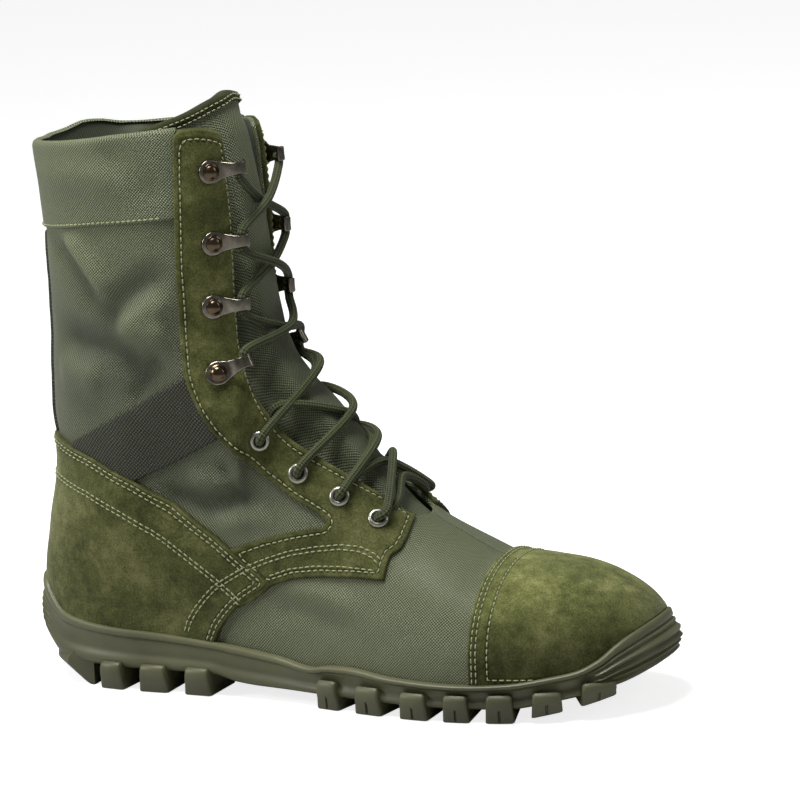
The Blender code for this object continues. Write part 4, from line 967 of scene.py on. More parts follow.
# WEBBING, BACK STAY AND COLLAR BAND
# Coarse nylon webbing braces the ankle under the suede and covers the back seam. The collar
# band is the shaft's own nylon, turned over the top and sewn down with a heavy thread.
WEBBING = 1.2
BAND = 0.9
BAND_FRONT = 90.5         # where the band goes under the facings
WEB_OUTLINE = [(120.0, 153.5), (94.0, 141.0), (60.0, 122.8), (32.0, 108.0), (20.0, 90.0), (64.0, 93.0),
               (84.0, 102.0), (106.0, 113.5), (130.0, 125.0)]
COLLAR_OUTLINE = [(-30, 199.0), (10, 199.5), (23, 201.2), (57, 205.5), (92, 208.5), (150, 212.0),
                  (150, 280.0), (-30, 280.0)]
STAY_HALF_WIDTH = 9.0
STAY_ENDS = (108.0, 198.5)
webbing = woven("olive webbing", (0.088, 0.096, 0.038), (0.003, 0.004, 0.001), 0.86, 1.0, 0.6, -0.1)
stay_webbing = woven("dark webbing", (0.05, 0.056, 0.03), (0.006, 0.008, 0.004), 0.8, 1.0, 0.7)

for side_name, side in SIDES:
    place_panel("ankle_web_%s_nylon" % side_name, WEB_OUTLINE, "ankle_web_" + side_name, webbing,
                "webbing", WEBBING, side=side,
                hidden=((COUNTER_OUTLINE, 1.5), (EYESTAY_OUTLINE, 1.5)))
table, faces = place_panel("collar_band_nylon", COLLAR_OUTLINE, "collar_band", nylon, "fabric", BAND,
                           hidden=((EYESTAY_OUTLINE, 1.5),))
low_faces = [f for f in faces if table[f, 2].max() < 214 and (BAND_FRONT - table[f, 0]).min() > 0]
sew(contour(table, low_faces, EDGE, 1.3), stitch=2.6, thread=0.45)

# The stay lies up the back seam, over the counter's top and under the collar band
stay_edge = np.minimum(STAY_HALF_WIDTH - np.abs(BASE[:, 1]),
                       np.minimum(BASE[:, 2] - STAY_ENDS[0], STAY_ENDS[1] - BASE[:, 2]))
stay_edge = np.where(BASE[:, 0] < 60, stay_edge, OUTSIDE)
zigzag = 0.5 * np.abs((BASE[:, 2] / 1.6) % 2 - 1)
table, faces = cut_out(stay_edge - zigzag, WEBBING, levels=(0.0, 0.3, 0.8), worn=0.8, sunk=0.4)
lay("back_stay_nylon", table, faces, "back_stay", stay_webbing)


# SOLE
# One moulding of olive rubber and polyurethane, bonded to the lasted upper: a matt bead round
# the top, a recessed side, lugs that stand proud, ribs behind the heel and flutes at the toe.
LUG_DEPTH = 23.0
LUG_STEP = 1.7
LUG_TAPER = 0.014
UNDERSIDE = [(2, 19.0), (8, 14.5), (15, 11.5), (30, 10.0), (97, 9.5), (108, 7.0), (120, 6.0),
             (150, 5.5), (235, 5.5), (259, 9.0), (272, 11.5), (281, 13.5), (294, 19.0)]
TREAD = [(2, 16.0), (14, 9.0), (22, 4.5), (30, 0.0), (238, 0.0), (247, 2.2), (259, 4.6), (275, 9.0),
         (286, 13.5), (294, 19.0)]
HEEL_LUGS = [(43.0, 54.5, 12.5), (62.0, 76.0, 12.5), (84.0, 97.0, 12.5)]
FORE_LUGS = [(150.5, 161.5, 13.0), (169.5, 182.5, 12.5), (191.0, 204.0, 12.0), (210.5, 222.0, 12.0),
             (228.5, 240.5, 12.5), (247.0, 259.0, 13.5), (265.5, 277.5, 16.5)]
# Side of the sole: share of its height, then how far it stands out at the sides, the back of
# the heel and the toe bumper
SIDE_ROWS = [(0.00, -3.4, -8.0, -4.6), (0.04, -2.2, -6.4, -3.0), (0.10, -1.2, -4.2, -1.2),
             (0.16, -0.8, -2.4, -0.2), (0.21, -0.8, -1.0, -0.9), (0.26, -1.1, -0.2, -0.3),
             (0.30, -1.4, -0.9, 0.5), (0.34, -1.8, 0.5, -0.4), (0.38, -2.1, -0.5, 0.4),
             (0.42, -2.3, 0.7, 1.2), (0.47, -2.4, -0.3, 0.3), (0.52, -2.4, 0.8, -0.3),
             (0.56, -2.3, -0.3, 0.8), (0.61, -2.1, 0.8, 1.3), (0.66, -1.8, -0.3, 0.2),
             (0.70, -1.6, 0.6, -0.1), (0.735, -1.1, 0.2, 0.7), (0.77, -1.3, -0.6, 0.8),
             (0.795, -1.4, -0.8, -0.2), (0.815, -0.9, -0.6, -0.3), (0.83, 0.1, 0.0, 0.3),
             (0.85, 0.45, 0.35, 0.6), (0.90, 0.65, 0.5, 0.6), (0.95, 0.6, 0.4, 0.4),
             (0.985, 0.2, 0.1, 0.0), (1.00, -0.7, -0.7, -0.7)]
CUP_GAP = 0.45
BUMPER_END = 268.5        # x of the groove behind the toe bumper
HEEL_BEND = (20.0, 14.0)  # x where the side's form turns into the heel's, and over how much
BUMPER_BEND = (BUMPER_END, 3.0)
LEAN_IN = (0.45, 0.5)     # share of the height where the side starts to follow the upper
underside = curve_through(UNDERSIDE)
tread_line = curve_through(TREAD)

low = SKIN[0]
ahead = np.roll(low, -1, 0) - np.roll(low, 1, 0)
sole_out = np.stack([-ahead[:, 1], ahead[:, 0], 0 * ahead[:, 0]], -1)
sole_out /= np.linalg.norm(sole_out, axis=1, keepdims=True)
at_heel = eased((HEEL_BEND[0] - low[:, 0]) / HEEL_BEND[1])
at_toe = past(low[:, 0], BUMPER_BEND)
bumper_groove = np.exp(-((low[:, 0] - BUMPER_END) / 1.3) ** 2)
rim = SKIN[1] + SKIN_NORMAL[1] * (SUEDE + 2 * GAP)
bottom = underside(low[:, 0])
side_rows = []
for share, beside, behind, before in SIDE_ROWS:
    stand = beside * (1 - at_heel - at_toe) + behind * at_heel + before * at_toe
    if 0.1 < share < 0.8:
        stand = stand - 1.1 * bumper_groove
    ring = low + sole_out * (RUBBER_WALL + stand)[:, None]
    ring[:, 2] = bottom + (SKIN[1, :, 2] - bottom) * share
    lean = rim + SKIN_NORMAL[1] * (1.3 + stand)[:, None]
    blend = past(share, LEAN_IN)
    ring[:, :2] = ring[:, :2] * (1 - blend) + lean[:, :2] * blend
    side_rows.append(ring)
side_rows.append(SKIN[1] + SKIN_NORMAL[1] * CUP_GAP)
cup_edge = SKIN[0] + SKIN_NORMAL[0] * CUP_GAP
cup_edge[:, 2] = cup_floor(low[:, 0])
side_rows.append(cup_edge)
sole_points = [p for ring in side_rows for p in ring]
sole_faces = grid_faces(len(side_rows), STATIONS)


def across(points, first, height, bridge):
    """Faces from one side of a ring to the other, over new points at a given height."""
    lines = []
    for j in range(1, STATIONS // 2):
        a, b = first + j, first + STATIONS - j
        line = [a]
        for k in range(1, bridge + 1):
            t = k / (bridge + 1)
            p = np.array(points[a]) * (1 - t) + np.array(points[b]) * t
            p[2] = height(p[0])
            line.append(len(points))
            points.append(p)
        lines.append(line + [b])
    faces = []
    for line, after in zip(lines, lines[1:]):
        faces += [[line[k], line[k + 1], after[k + 1], after[k]] for k in range(len(line) - 1)]
    for line, end in ((lines[0], first), (lines[-1], first + STATIONS // 2)):
        faces += [[line[k], line[k + 1], end] for k in range(len(line) - 1)]
    return faces


sole_faces += across(sole_points, 0, underside, 6)
sole_faces += across(sole_points, (len(side_rows) - 1) * STATIONS, cup_floor, 3)


def sole_edge(x, side):
    """The sole's edge in plan at x, and its outward direction."""
    run = np.array([x - 0.5, x, x + 0.5])
    y = centre_line(run) + side * form_half_width(run, np.full(3, LOW_EDGE), side)
    along = Vector((1.0, float(y[2] - y[0]), 0)).normalized()
    out = Vector((-along.y, along.x, 0)) * side
    return Vector((x, float(y[1]), 0)) + out * RUBBER_WALL, out


def lug_block(x_back, x_front, top, side, slit):
    """One lug: a rounded block that follows the edge, with a slit low in its face."""
    rows = []
    middle = (x_back + x_front) / 2
    half = (x_front - x_back) / 2
    stops = [(-1.0, 1.1), (-0.93, 0.35), (-0.8, 0.0)]
    if slit:
        stops += [(-0.10, 0.0), (-0.06, 0.9), (0.06, 0.9), (0.10, 0.0)]
    stops += [(0.8, 0.0), (0.93, 0.35), (1.0, 1.1)]
    for place, worn in stops:
        x = middle + place * half
        edge, out = sole_edge(x, side)
        ground = float(tread_line(x))
        cut = worn if abs(place) < 0.5 else 0.0
        worn = worn if abs(place) > 0.5 else 0.0
        section = [(-LUG_DEPTH, ground + worn), (LUG_STEP - 3.2, ground + worn * 0.6),
                   (LUG_STEP - 1.5 - worn * 0.6, ground + 0.4 + worn * 0.3),
                   (LUG_STEP - 1.05 - cut - worn, ground + 1.6),
                   (LUG_STEP - 0.6 - cut - worn, ground + 0.42 * (top - ground)),
                   (LUG_STEP - 0.1 - worn, ground + (0.52 if slit else 0.5) * (top - ground)),
                   (LUG_STEP - worn, ground + 0.80 * (top - ground)),
                   (LUG_STEP - 0.5 - worn, ground + 0.93 * (top - ground)),
                   (LUG_STEP - 1.6 - worn, top - worn),
                   (-2.6, min(top + 0.2, float(cup_floor(x)) - 1.0)),
                   (-LUG_DEPTH + 3.0, float(underside(x)) + 2.0)]
        rows.append([(edge.x + out.x * stand + LUG_TAPER * (middle - x) * (height - ground),
                      edge.y + out.y * stand, height) for stand, height in section])
    return rows


for side in (-1, 1):
    for lugs, slit in ((HEEL_LUGS, False), (FORE_LUGS, True)):
        for x_back, x_front, top in lugs:
            close_block(lug_block(x_back, x_front, top, side, slit), sole_points, sole_faces)
rear = []
for y in np.linspace(-27.0, 27.0, 19):
    heel_x = 9.0 + 0.021 * y * y
    rear.append([(x, y, z) for x, z in ((heel_x + 11, 0.0), (37.0, 0.0), (37.0, 12.5), (heel_x + 3, 14.5),
                                        (heel_x + 0.3, 11.5), (heel_x, 9.0))])
close_block(rear, sole_points, sole_faces)
# Cross bars of the tread between the two rows of lugs
for x_back, x_front, _ in HEEL_LUGS[1:] + FORE_LUGS[:6]:
    middle = (x_back + x_front) / 2
    y = float(centre_line(middle))
    half = min(9.0, float(plan_inner(middle)) - LUG_DEPTH - 3.0)
    ground = float(tread_line(middle))
    top = float(underside(middle)) + 2.0
    close_block([[(middle - reach, y + width, ground), (middle + reach, y + width, ground),
                  (middle + reach, y + width, top), (middle - reach, y + width, top)]
                 for width, reach in ((-half, 3.5), (0.0, 6.0), (half, 3.5))], sole_points, sole_faces)

# Low ribs of the fine tread cross the gaps between the middle lugs, just off the floor
FINE_RIB = (2.2, 11.0, 0.9)   # half length, half width, height off the tread
for behind, before in zip(HEEL_LUGS[:-1] + FORE_LUGS[:-1], HEEL_LUGS[1:] + FORE_LUGS[1:]):
    x = (behind[1] + before[0]) / 2
    y = float(centre_line(x))
    half_x, half_y, off_floor = FINE_RIB
    section = [(half_x, float(tread_line(x)) + off_floor), (half_x + 0.8, underside(x) + 1)]
    section = [(-half, z) for half, z in section[:1]] + section + [(-half, z) for half, z in section[1:]]
    close_block([[(x + along, y + beside, z) for along, z in section] for beside in (-half_y, half_y)],
                sole_points, sole_faces)


def rubber(name):
    """Olive moulding: matt with a faint wax sheen, painted shade towards the floor, fine pitting."""
    moulding, tree, shader = new_finish(name, Specular_IOR_Level=0.45, Coat_Weight=0.12,
                                        Coat_Roughness=0.35)
    place = own_place(tree)
    tone = ramped(tree, noise(tree, place, 22.0, 4.0),
                  ((0.3, (0.066, 0.067, 0.028)), (0.75, (0.128, 0.127, 0.062))))
    height = add(tree, "SeparateXYZ", {"Vector": place}).outputs["Z"]
    # Painted shade: the colour darkens towards the floor
    painted_shade_near_floor = ranged(tree, height, (0.0, 0.019), (0.55, 1.0))
    tree.links.new(scaled(tree, tone, painted_shade_near_floor), shader.inputs["Base Color"])
    upright = add(tree, "Mapping", {"Vector": place, "Scale": (0.12, 0.12, 1.6)}).outputs[0]
    gloss = ranged(tree, noise(tree, upright, 60.0, 3.0), (0.0, 1.0), (0.36, 0.66))
    tree.links.new(gloss, shader.inputs["Roughness"])
    bumped(tree, shader, noise(tree, place, 1400.0, 2.0), 0.12, 0.0003)
    return moulding


sole = make_piece("moulded_sole", sole_points, sole_faces, [rubber("olive rubber")], "sole")
sole.data.set_sharp_from_angle(angle=math.radians(38))


# INSOLE
# A loose footbed of felt over foam, cut to the last's bottom.
INSOLE_PAD = 3.5
INSOLE_LIFT = 1.3
INSOLE_INSET = WALL + 0.9
insole_rings = []
for inset, height in ((0.0, 0.0), (0.0, 2.4), (0.5, 3.2), (1.4, INSOLE_PAD)):
    ring = SKIN[0] - SKIN_NORMAL[0] * (INSOLE_INSET + inset)
    ring[:, 2] = cup_floor(ring[:, 0]) + INSOLE_LIFT + height
    insole_rings.append(ring)
insole_points = [p for ring in insole_rings for p in ring]
insole_faces = grid_faces(len(insole_rings), STATIONS)
insole_faces += across(insole_points, 0, lambda x: cup_floor(x) + INSOLE_LIFT, 3)
insole_faces += across(insole_points, 3 * STATIONS, lambda x: cup_floor(x) + INSOLE_LIFT + INSOLE_PAD, 5)
felt, felt_tree, felt_shader = new_finish("grey felt", Roughness=0.95, Sheen_Weight=0.3)
fibre = noise(felt_tree, own_place(felt_tree), 700.0, 4.0)
felt_tone = two_toned(felt_tree, fibre, (0.06, 0.065, 0.045), (0.14, 0.145, 0.105))
felt_tree.links.new(felt_tone, felt_shader.inputs["Base Color"])
bumped(felt_tree, felt_shader, fibre, 0.4, 0.0006)
insole = make_piece("felt_insole", insole_points, insole_faces, [felt], "insole")
insole.data.set_sharp_from_angle(angle=math.radians(50))


# TONGUE
# A padded nylon tongue sewn in at the vamp, which wraps the shin under the facings. Its top
# is bound in suede with two rows of stitches.
# From the root up: x and height that a rib is seen from, tilt of the view, spread of the rib to
# each side in degrees, and how far the tongue's crown stands off the form
TONGUE_ROWS = [(199.0, 34.0, 94.0, 40.0, -3.4), (177.0, 46.0, 86.0, 40.0, -3.2),
               (155.0, 58.0, 72.0, 38.0, -1.4), (135.0, 74.0, 58.0, 38.0, 0.8),
               (108.0, 96.0, 42.0, 40.0, 2.6), (85.0, 122.0, 22.0, 43.0, 4.0),
               (68.0, 150.0, 6.0, 49.0, 4.2), (65.0, 180.0, 0.0, 54.0, 2.6),
               (64.0, 210.0, 0.0, 60.0, 0.0), (63.0, 241.0, 0.0, 67.0, -3.0),
               (62.0, 250.0, 0.0, 70.0, -4.2)]
TONGUE_RISE = 8.5
TONGUE_DROP = 15.0
TONGUE_EDGE = -WALL - 3.4
TONGUE_TUCK = 2.2
TONGUE_PAD = 5.0
CROWN_HALF = 19.0
CROWN_SLOPE = 11.0
BINDING = 1.0
BINDING_DROP = 4.4        # width of the binding's face
BINDING_FACE = 0.4 + BINDING
TONGUE_ACROSS = 64
TONGUE_UP = 120
# Folds of the tongue: depth, half width, then points as share across and share up
TONGUE_FOLDS = [(-1.6, 0.035, [(0.56, 0.99), (0.60, 0.86), (0.66, 0.74)]),
                (1.0, 0.05, [(0.46, 0.98), (0.50, 0.84), (0.54, 0.70)]),
                (-1.3, 0.03, [(0.30, 0.62), (0.46, 0.58), (0.62, 0.61)]),
                (0.8, 0.03, [(0.28, 0.56), (0.46, 0.53), (0.66, 0.56)]),
                (-1.2, 0.03, [(0.30, 0.46), (0.50, 0.43), (0.70, 0.45)]),
                (-0.9, 0.03, [(0.32, 0.76), (0.44, 0.73), (0.58, 0.75)])]

turns = np.linspace(-1, 1, TONGUE_ACROSS + 1)
rib_at = np.linspace(0, len(TONGUE_ROWS) - 1, TONGUE_UP + 1)
numbered = [(k, *row) for k, row in enumerate(TONGUE_ROWS)]
eye_x, eye_z, tilt, spread, stand_out = [curve_through(numbered, c)(rib_at)[:, None] for c in range(1, 6)]
top = np.clip((rib_at[:, None] - len(TONGUE_ROWS) + 3) / 2, 0, 1)
top_curve = top * (TONGUE_RISE - TONGUE_DROP * np.abs(turns) ** 1.25)
eye = np.stack(np.broadcast_arrays(eye_x, 0.0, eye_z + top_curve), -1)
swing = np.radians(turns * spread)
view = np.radians(tilt)
ray = np.stack(np.broadcast_arrays(np.cos(swing) * np.cos(view), np.sin(swing),
                                   np.cos(swing) * np.sin(view)), -1)
tongue, tongue_normal = reach_surface(eye, eye + ray)
for _ in range(4):
    n = tongue_normal
    n[1:-1, 1:-1] = n[1:-1, 1:-1] * 2 + n[2:, 1:-1] + n[:-2, 1:-1] + n[1:-1, 2:] + n[1:-1, :-2]
    tongue_normal /= np.linalg.norm(tongue_normal, axis=-1, keepdims=True)
crown = eased((CROWN_HALF - np.abs(tongue[..., 1])) / CROWN_SLOPE)
tuck = TONGUE_EDGE - TONGUE_TUCK * top
place = np.stack(np.meshgrid((turns + 1) / 2, np.linspace(0, 1, TONGUE_UP + 1)), -1).reshape(-1, 2)
creased = np.zeros(len(place))
for depth, width, line in TONGUE_FOLDS:
    away, along = off_line(place, line)
    creased += depth * eased(along / 0.3) * eased((1 - along) / 0.3) * np.exp(-(away / width) ** 2)
tongue_lift = tuck + (stand_out - tuck) * crown + creased.reshape(crown.shape)
tongue_front = tongue + tongue_normal * tongue_lift[..., None]
round_off = np.minimum(1 - np.abs(turns)[None, :], 0.06) / 0.06
half_pad = TONGUE_PAD / 2 * np.sqrt(1 - (1 - round_off) ** 2)
core = tongue_front - tongue_normal * TONGUE_PAD / 2


def two_faced(front, rear):
    """A closed sheet between two open grids of the same size."""
    rows, columns = front.shape[:2]
    points = list(front.reshape(-1, 3)) + list(rear.reshape(-1, 3))
    backs = rows * columns
    faces = []
    for i in range(rows - 1):
        for j in range(columns - 1):
            a = i * columns + j
            quad = [a, a + 1, a + columns + 1, a + columns]
            faces.append(quad)
            faces.append([backs + q for q in reversed(quad)])
    edge = list(range(columns)) + [i * columns + columns - 1 for i in range(1, rows)]
    edge += [(rows - 1) * columns + j for j in reversed(range(columns - 1))]
    edge += [i * columns for i in reversed(range(1, rows - 1))]
    faces += [[a, b, backs + b, backs + a] for a, b in zip(edge, edge[1:] + edge[:1])]
    return points, faces


tongue_points, tongue_faces = two_faced(core + tongue_normal * half_pad[..., None],
                                        core - tongue_normal * half_pad[..., None])
tongue_across = np.cumsum(np.concatenate([np.zeros((TONGUE_UP + 1, 1)),
                                          np.linalg.norm(np.diff(tongue_front, axis=1), axis=-1)], 1), axis=1)
tongue_across -= tongue_across[:, TONGUE_ACROSS // 2:TONGUE_ACROSS // 2 + 1]
tongue_along = np.cumsum(np.concatenate([np.zeros((1, TONGUE_ACROSS + 1)),
                                         np.linalg.norm(np.diff(tongue_front, axis=0), axis=-1)]), axis=0)
tongue_uv = np.stack([tongue_across, tongue_along], -1).reshape(-1, 2)
padded_tongue = make_piece("padded_tongue", tongue_points, tongue_faces, [nylon], "tongue",
                           uv=np.concatenate([tongue_uv, tongue_uv]))

# The binding: a channel of suede over the tongue's top edge
to_top = tongue_along[-1:] - tongue_along
start = int(np.argmax(to_top[:, TONGUE_ACROSS // 2] < BINDING_DROP))
face_rows = tongue_front[start:]
face_normal = tongue_normal[start:]
high = tongue_front[-1] - tongue_normal[-1] * TONGUE_PAD / 2
rise = tongue_front[-1] - tongue_front[-2]
rise /= np.linalg.norm(rise, axis=-1, keepdims=True)
ring_rows = [face_rows[0] + face_normal[0] * 0.1]
ring_rows += [p + n * BINDING_FACE for p, n in zip(face_rows, face_normal)]
for angle in np.radians([25, 50, 75, 90, 105, 130, 155]):
    reach = TONGUE_PAD / 2 + BINDING_FACE
    ring_rows.append(high + (tongue_normal[-1] * math.cos(angle) + rise * 0.45 * math.sin(angle)) * reach)
ring_rows += [p - n * (TONGUE_PAD + BINDING_FACE) for p, n in zip(face_rows[::-1], face_normal[::-1])]
ring_rows.append(face_rows[0] - face_normal[0] * (TONGUE_PAD + 0.1))
binding_points = []
binding_faces = []
close_block(np.array(ring_rows).transpose(1, 0, 2), binding_points, binding_faces)
make_piece("tongue_binding_suede", binding_points, binding_faces, [binding_suede], "tongue_binding")
for level in (0.8, 2.9):
    chain = []
    for j in range(1, TONGUE_ACROSS):
        stops = to_top[::-1, j]
        spot = [np.interp(level, stops, tongue_front[::-1, j, c]) for c in range(3)]
        out = np.array([np.interp(level, stops, tongue_normal[::-1, j, c]) for c in range(3)])
        chain.append(np.concatenate([spot + out * BINDING_FACE, out]))
    sew([np.array(chain)], stitch=2.6)

stitches = bpy.data.meshes.new("stitches")
stitches.from_pydata([world(p) for p in stitch_points], [], stitch_faces)
stitches.materials.append(thread_paint)
stitches.shade_smooth()
stitching = bpy.data.objects.new("stitches", stitches)
bpy.context.collection.objects.link(stitching)
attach(stitching, "root")


# EYELETS, HOOKS AND RIVETS
# Eyelets are stamped brass rings, clinched through the facing. Hooks are pressed steel with a
# domed rivet. All are plated in dark antique nickel, rubbed bright on the rims.
EYELETS = [(175.4, -25.2, 80.4), (158.2, -25.6, 89.8), (140.2, -26.4, 99.7), (123.2, -27.3, 114.0)]
HOOKS = [(108.5, -32.4, 141.5, 4.2), (106.0, -29.3, 170.2, 0.5), (106.7, -28.3, 197.2, 0.8),
         (106.3, -27.3, 227.6, 1.2)]
EYELET_PROFILE = [(2.2, -4.0), (2.2, 0.2), (2.35, 0.7), (2.75, 1.05), (3.3, 1.1), (3.9, 0.85),
                  (4.35, 0.4), (4.5, 0.0), (4.3, -0.25), (2.8, -0.2), (2.8, -4.0)]
RIVET_PROFILE = [(0.0, 1.9), (0.9, 1.85), (1.8, 1.6), (2.6, 1.1), (2.9, 0.7), (3.1, 0.55), (3.6, 0.5),
                 (3.7, 0.25), (3.7, 0.0), (0.0, 0.0)]
HOOK_PLATE = 1.1
HOOK_ARM = [(-5.4, 1.2, 0.0), (-4.9, 2.4, 0.0), (-4.0, 3.7, 0.0), (-2.6, 4.8, 0.0), (-1.0, 5.3, 0.0),
            (0.6, 5.4, 0.0), (2.0, 5.0, 0.0), (3.4, 4.4, 0.0), (4.6, 3.9, 0.25), (5.8, 3.5, 1.3),
            (7.2, 3.1, 2.7), (8.6, 2.8, 3.7), (10.0, 2.6, 4.3), (11.4, 2.55, 4.5), (12.8, 2.7, 4.6),
            (14.0, 3.05, 4.3), (14.9, 3.25, 3.4), (15.5, 3.2, 2.2), (15.2, 3.0, 1.3)]
OUTER_FACE = GAP + SUEDE + GAP
cloth_tree = BVHTree.FromPolygons([Vector(p) for p in FOLDED.reshape(-1, 3)],
                                  grid_faces(ROWS + 1, STATIONS))


def seat(x, y, z, lift, radius=0.0):
    """A point over the upper beside a measured one, clear of it all round, and its normal."""
    eye = np.array([[min(x - 14.0, 150.0) if z < 130 else 66.0, 0.0, z - 30.0 if z < 130 else z]])
    point, normal = reach_surface(eye, np.array([[x, y, z]]))
    point, normal = Vector(point[0]), Vector(normal[0])
    side = normal.orthogonal().normalized()
    highest = 0.0
    for k in range(8):
        start = point + (Matrix.Rotation(k * math.pi / 4, 3, normal) @ side) * radius + normal * 10
        hit = cloth_tree.ray_cast(start, -normal)[0]
        if hit:
            highest = max(highest, (hit - point).dot(normal))
    return point + normal * (lift + highest), normal


def frame_at(point, normal, along):
    """A placing matrix with Z on the normal and X along a direction on the surface."""
    x_axis = (along - normal * along.dot(normal)).normalized()
    turned = Matrix((x_axis, normal.cross(x_axis), normal)).transposed().to_4x4()
    return Matrix.Translation(point) @ turned


def turned(profile, sides, place):
    """Points and faces of a ring or button turned about its own axis."""
    points = []
    loops = []
    for radius, height in profile:
        if radius == 0:
            loops.append([len(points)] * sides)
            points.append(place @ Vector((0, 0, height)))
            continue
        loops.append(list(range(len(points), len(points) + sides)))
        for k in range(sides):
            angle = 2 * math.pi * k / sides
            points.append(place @ Vector((radius * math.cos(angle), radius * math.sin(angle), height)))
    closed = profile[0][0] > 0
    pairs = zip(loops, loops[1:] + loops[:1]) if closed else zip(loops, loops[1:])
    faces = []
    for a, b in pairs:
        for k in range(sides):
            n = (k + 1) % sides
            faces.append(list(dict.fromkeys([a[k], a[n], b[n], b[k]])))
    return points, faces


def plated(name, tone, rub, roughness):
    """Dark plating with a brighter, rubbed bloom."""
    metal, tree, shader = new_finish(name, Metallic=1.0)
    bloom = noise(tree, own_place(tree), 420.0, 3.0)
    tree.links.new(two_toned(tree, bloom, tone, rub), shader.inputs["Base Color"])
    haze = ranged(tree, bloom, (0.0, 1.0), (roughness - 0.08, roughness + 0.12))
    tree.links.new(haze, shader.inputs["Roughness"])
    return metal


nickel = plated("dark nickel", (0.070, 0.061, 0.048), (0.34, 0.31, 0.25), 0.22)
eyelet_nickel = plated("eyelet nickel", (0.24, 0.24, 0.19), (0.46, 0.45, 0.38), 0.3)
rivet_bronze = plated("brown rivet", (0.060, 0.042, 0.026), (0.17, 0.125, 0.08), 0.2)
hook_places = {}
for side_name, side in SIDES:
    for k, (x, y, z) in enumerate(EYELETS, 1):
        centre, normal = seat(x, -y * side, z, OUTER_FACE, 4.5)
        points, faces = turned(EYELET_PROFILE, 32, frame_at(centre, normal, Vector((1, 0, -0.4))))
        make_piece("nickel_eyelet_%s_%d" % (side_name, k), points, faces, [eyelet_nickel],
                   "eyelet_%s_%d" % (side_name, k))
    for k, (x, y, z, rise_z) in enumerate(HOOKS, 1):
        centre, normal = seat(x, -y * side, z, OUTER_FACE + 0.3, 5.4)
        place = frame_at(centre, normal, Vector((12.2, -11.7 * side, rise_z)))
        hook_places[side, k] = place
        points = []
        faces = []
        rows = []
        for along, half, raised in HOOK_ARM:
            thick = HOOK_PLATE if along < 12 else 0.9
            cup = 0.35 if 3 < along < 14 else 0.0
            section = [(-0.93, 0.0), (0.0, cup * 0.2), (0.93, 0.0), (1.0, thick * 0.4), (0.93, thick),
                       (0.8, thick * 1.12), (0.0, thick - cup), (-0.8, thick * 1.12), (-0.93, thick),
                       (-1.0, thick * 0.4)]
            rows.append([place @ Vector((along, share * half, raised + up)) for share, up in section])
        close_block(rows, points, faces)
        make_piece("lace_hook_%s_%d" % (side_name, k), points, faces, [nickel],
                   "hook_%s_%d" % (side_name, k))
        points, faces = turned(RIVET_PROFILE, 28, place @ Matrix.Translation((0, 0, HOOK_PLATE + 0.1)))
        make_piece("hook_rivet_%s_%d" % (side_name, k), points, faces, [rivet_bronze],
                   "rivet_%s_%d" % (side_name, k))


# LACE
# One round braided cord, 3.4 mm, over a soft core. It comes up through each eyelet, crosses
# the tongue and goes under the other facing, then passes behind the hooks' curled tips.
LACE_RADIUS = 1.9
# Where each crossing passes the middle: viewing x and height, tilt, lift off the form
CROSSINGS = [(158.0, 56.0, 76.0, 3.6), (142.0, 66.0, 64.0, 4.4), (122.0, 84.0, 50.0, 5.6),
             (92.0, 112.0, 26.0, 8.8), (70.0, 156.0, 0.0, 7.6), (66.0, 184.0, 0.0, 5.8),
             (65.0, 212.0, 0.0, 3.4)]
LACE_SIDES = 14
STRANDS = 4               # strands that wind each way
BRAID_PITCH = 2.2


def front_point(x, z, tilt_degrees, raised):
    """A point in front of the throat, above the closed form."""
    view = math.radians(tilt_degrees)
    eye = np.array([[x, 0.0, z]])
    ray = np.array([[math.cos(view), 0.0, math.sin(view)]])
    point, normal = reach_surface(eye, eye + ray)
    return Vector(point[0] + normal[0] * raised)


def mirrored(point):
    return Vector((point.x, -point.y, point.z))


def anchor(k, way):
    """Points of a strand at an anchor, outer side: eyelets 0 to 3, then hooks 4 to 7."""
    if k < 4:
        x, y, z = EYELETS[k]
        if way > 0:
            inner = seat(x, y, z, -3.0)[0]
            mouth = seat(x, y, z, 3.3)[0]
            return [inner, mouth, seat(x + 1.2, y + 4.5, z + 1.4, 5.0 + (0.8 if k == 3 else 0.0))[0]]
        return [seat(x + 1.0, y + 4.0, z + 1.5, -2.6)[0], seat(x + 3.5, y + 12.0, z + 4.0, 1.6)[0]]
    place = hook_places[-1, k - 3]
    beside = 5.5 if k == 4 else 4.9
    turn_point = place @ Vector((12.6, 0, 2.2))
    return [turn_point, turn_point + Vector((0.6, 0, beside * way))]


def braid_path(points, spacing=0.9):
    """An even run of points on a smooth curve through the given ones."""
    points = np.array([tuple(p) for p in points], float)
    padded = np.concatenate([[2 * points[0] - points[1]], points, [2 * points[-1] - points[-2]]])
    run = []
    for p0, p1, p2, p3 in zip(padded, padded[1:], padded[2:], padded[3:]):
        for t in np.linspace(0, 1, 24, endpoint=False):
            run.append(0.5 * (2 * p1 + (p2 - p0) * t + (2 * p0 - 5 * p1 + 4 * p2 - p3) * t * t
                              + (3 * p1 - p0 - 3 * p2 + p3) * t ** 3))
    run.append(points[-1])
    run = np.array(run)
    length = run_along(run)
    stops = np.linspace(0, length[-1], max(6, int(length[-1] / spacing)))
    return np.stack([np.interp(stops, length, run[:, c]) for c in range(3)], -1), stops


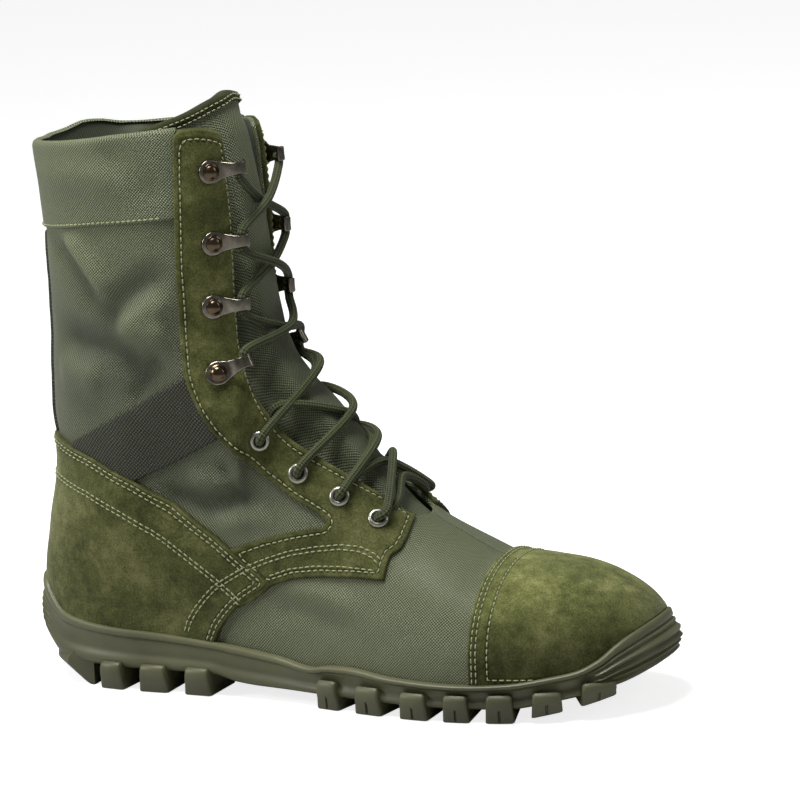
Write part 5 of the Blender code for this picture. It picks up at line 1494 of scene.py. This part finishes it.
def cord_tube(path, stops):
    """Adds a round tube along a path, with its length and turn kept for the braid."""
    ahead = np.gradient(path, axis=0)
    ahead /= np.linalg.norm(ahead, axis=1, keepdims=True)
    side = np.cross(ahead[0], [0.0, 0.0, 1.0])
    rings = []
    for p, t, run in zip(path, ahead, stops):
        side = side - t * side.dot(t)
        side /= np.linalg.norm(side)
        up = np.cross(t, side)
        rings.append([p + (side * math.cos(turn) + up * math.sin(turn)) * LACE_RADIUS
                      for turn in 2 * math.pi * np.arange(LACE_SIDES) / LACE_SIDES])
        lace_uv.extend((run, k / LACE_SIDES) for k in range(LACE_SIDES))
    close_block(rings, lace_points, lace_faces)


def braided(name):
    """Braided cord: two sets of strands that wind against each other."""
    cord, tree, shader = new_finish(name, Roughness=0.75, Sheen_Weight=0.08, Specular_IOR_Level=0.3)
    axes = add(tree, "SeparateXYZ", {"Vector": add(tree, "UVMap", uv_map="cloth").outputs["UV"]})
    waves = []
    for way in (-1.0, 1.0):
        wind = calc(tree, "MULTIPLY", axes.outputs["Y"], way * STRANDS * 2 * math.pi)
        wind = calc(tree, "MULTIPLY_ADD", axes.outputs["X"], 2 * math.pi / BRAID_PITCH, wind)
        waves.append(calc(tree, "SINE", wind))
    strands = ranged(tree, calc(tree, "MULTIPLY", *waves), (-0.8, 0.8))
    tone = two_toned(tree, strands, (0.010, 0.014, 0.005), (0.088, 0.102, 0.036))
    tree.links.new(tone, shader.inputs["Base Color"])
    bumped(tree, shader, strands, 1.0, 0.0004)
    return cord


lace_points = []
lace_faces = []
lace_uv = []
for k, (eye_x, eye_z, tilt_degrees, raised) in enumerate(CROSSINGS):
    for over in (True, False):
        start = anchor(k, 1)
        end = anchor(k + 1, -1)[::-1]
        middle = front_point(eye_x, eye_z, tilt_degrees, raised + (1.9 if over else -1.5))
        if over == (k % 2 == 0) or (k < 4 and over):
            end = [mirrored(p) for p in end]
        else:
            start = [mirrored(p) for p in start]
        cord_tube(*braid_path(start + [middle] + end))
# The bar between the two lowest eyelets lies under the facings and shows over the tongue
x, y, z = EYELETS[0]
bar_end = seat(x + 3.0, y + 11.0, z + 3.0, 2.2)[0]
outer_end = [seat(x, y, z, 3.0)[0], seat(x, y, z, -2.0)[0], bar_end]
bar = outer_end + [front_point(172.0, 48.0, 86.0, 2.4)] + [mirrored(p) for p in outer_end[::-1]]
cord_tube(*braid_path(bar))
make_piece("braided_lace", lace_points, lace_faces, [braided("braided cord")],
           ["lace_crossing_%d" % k for k in range(1, 8)] + ["lace_bar"], uv=lace_uv)
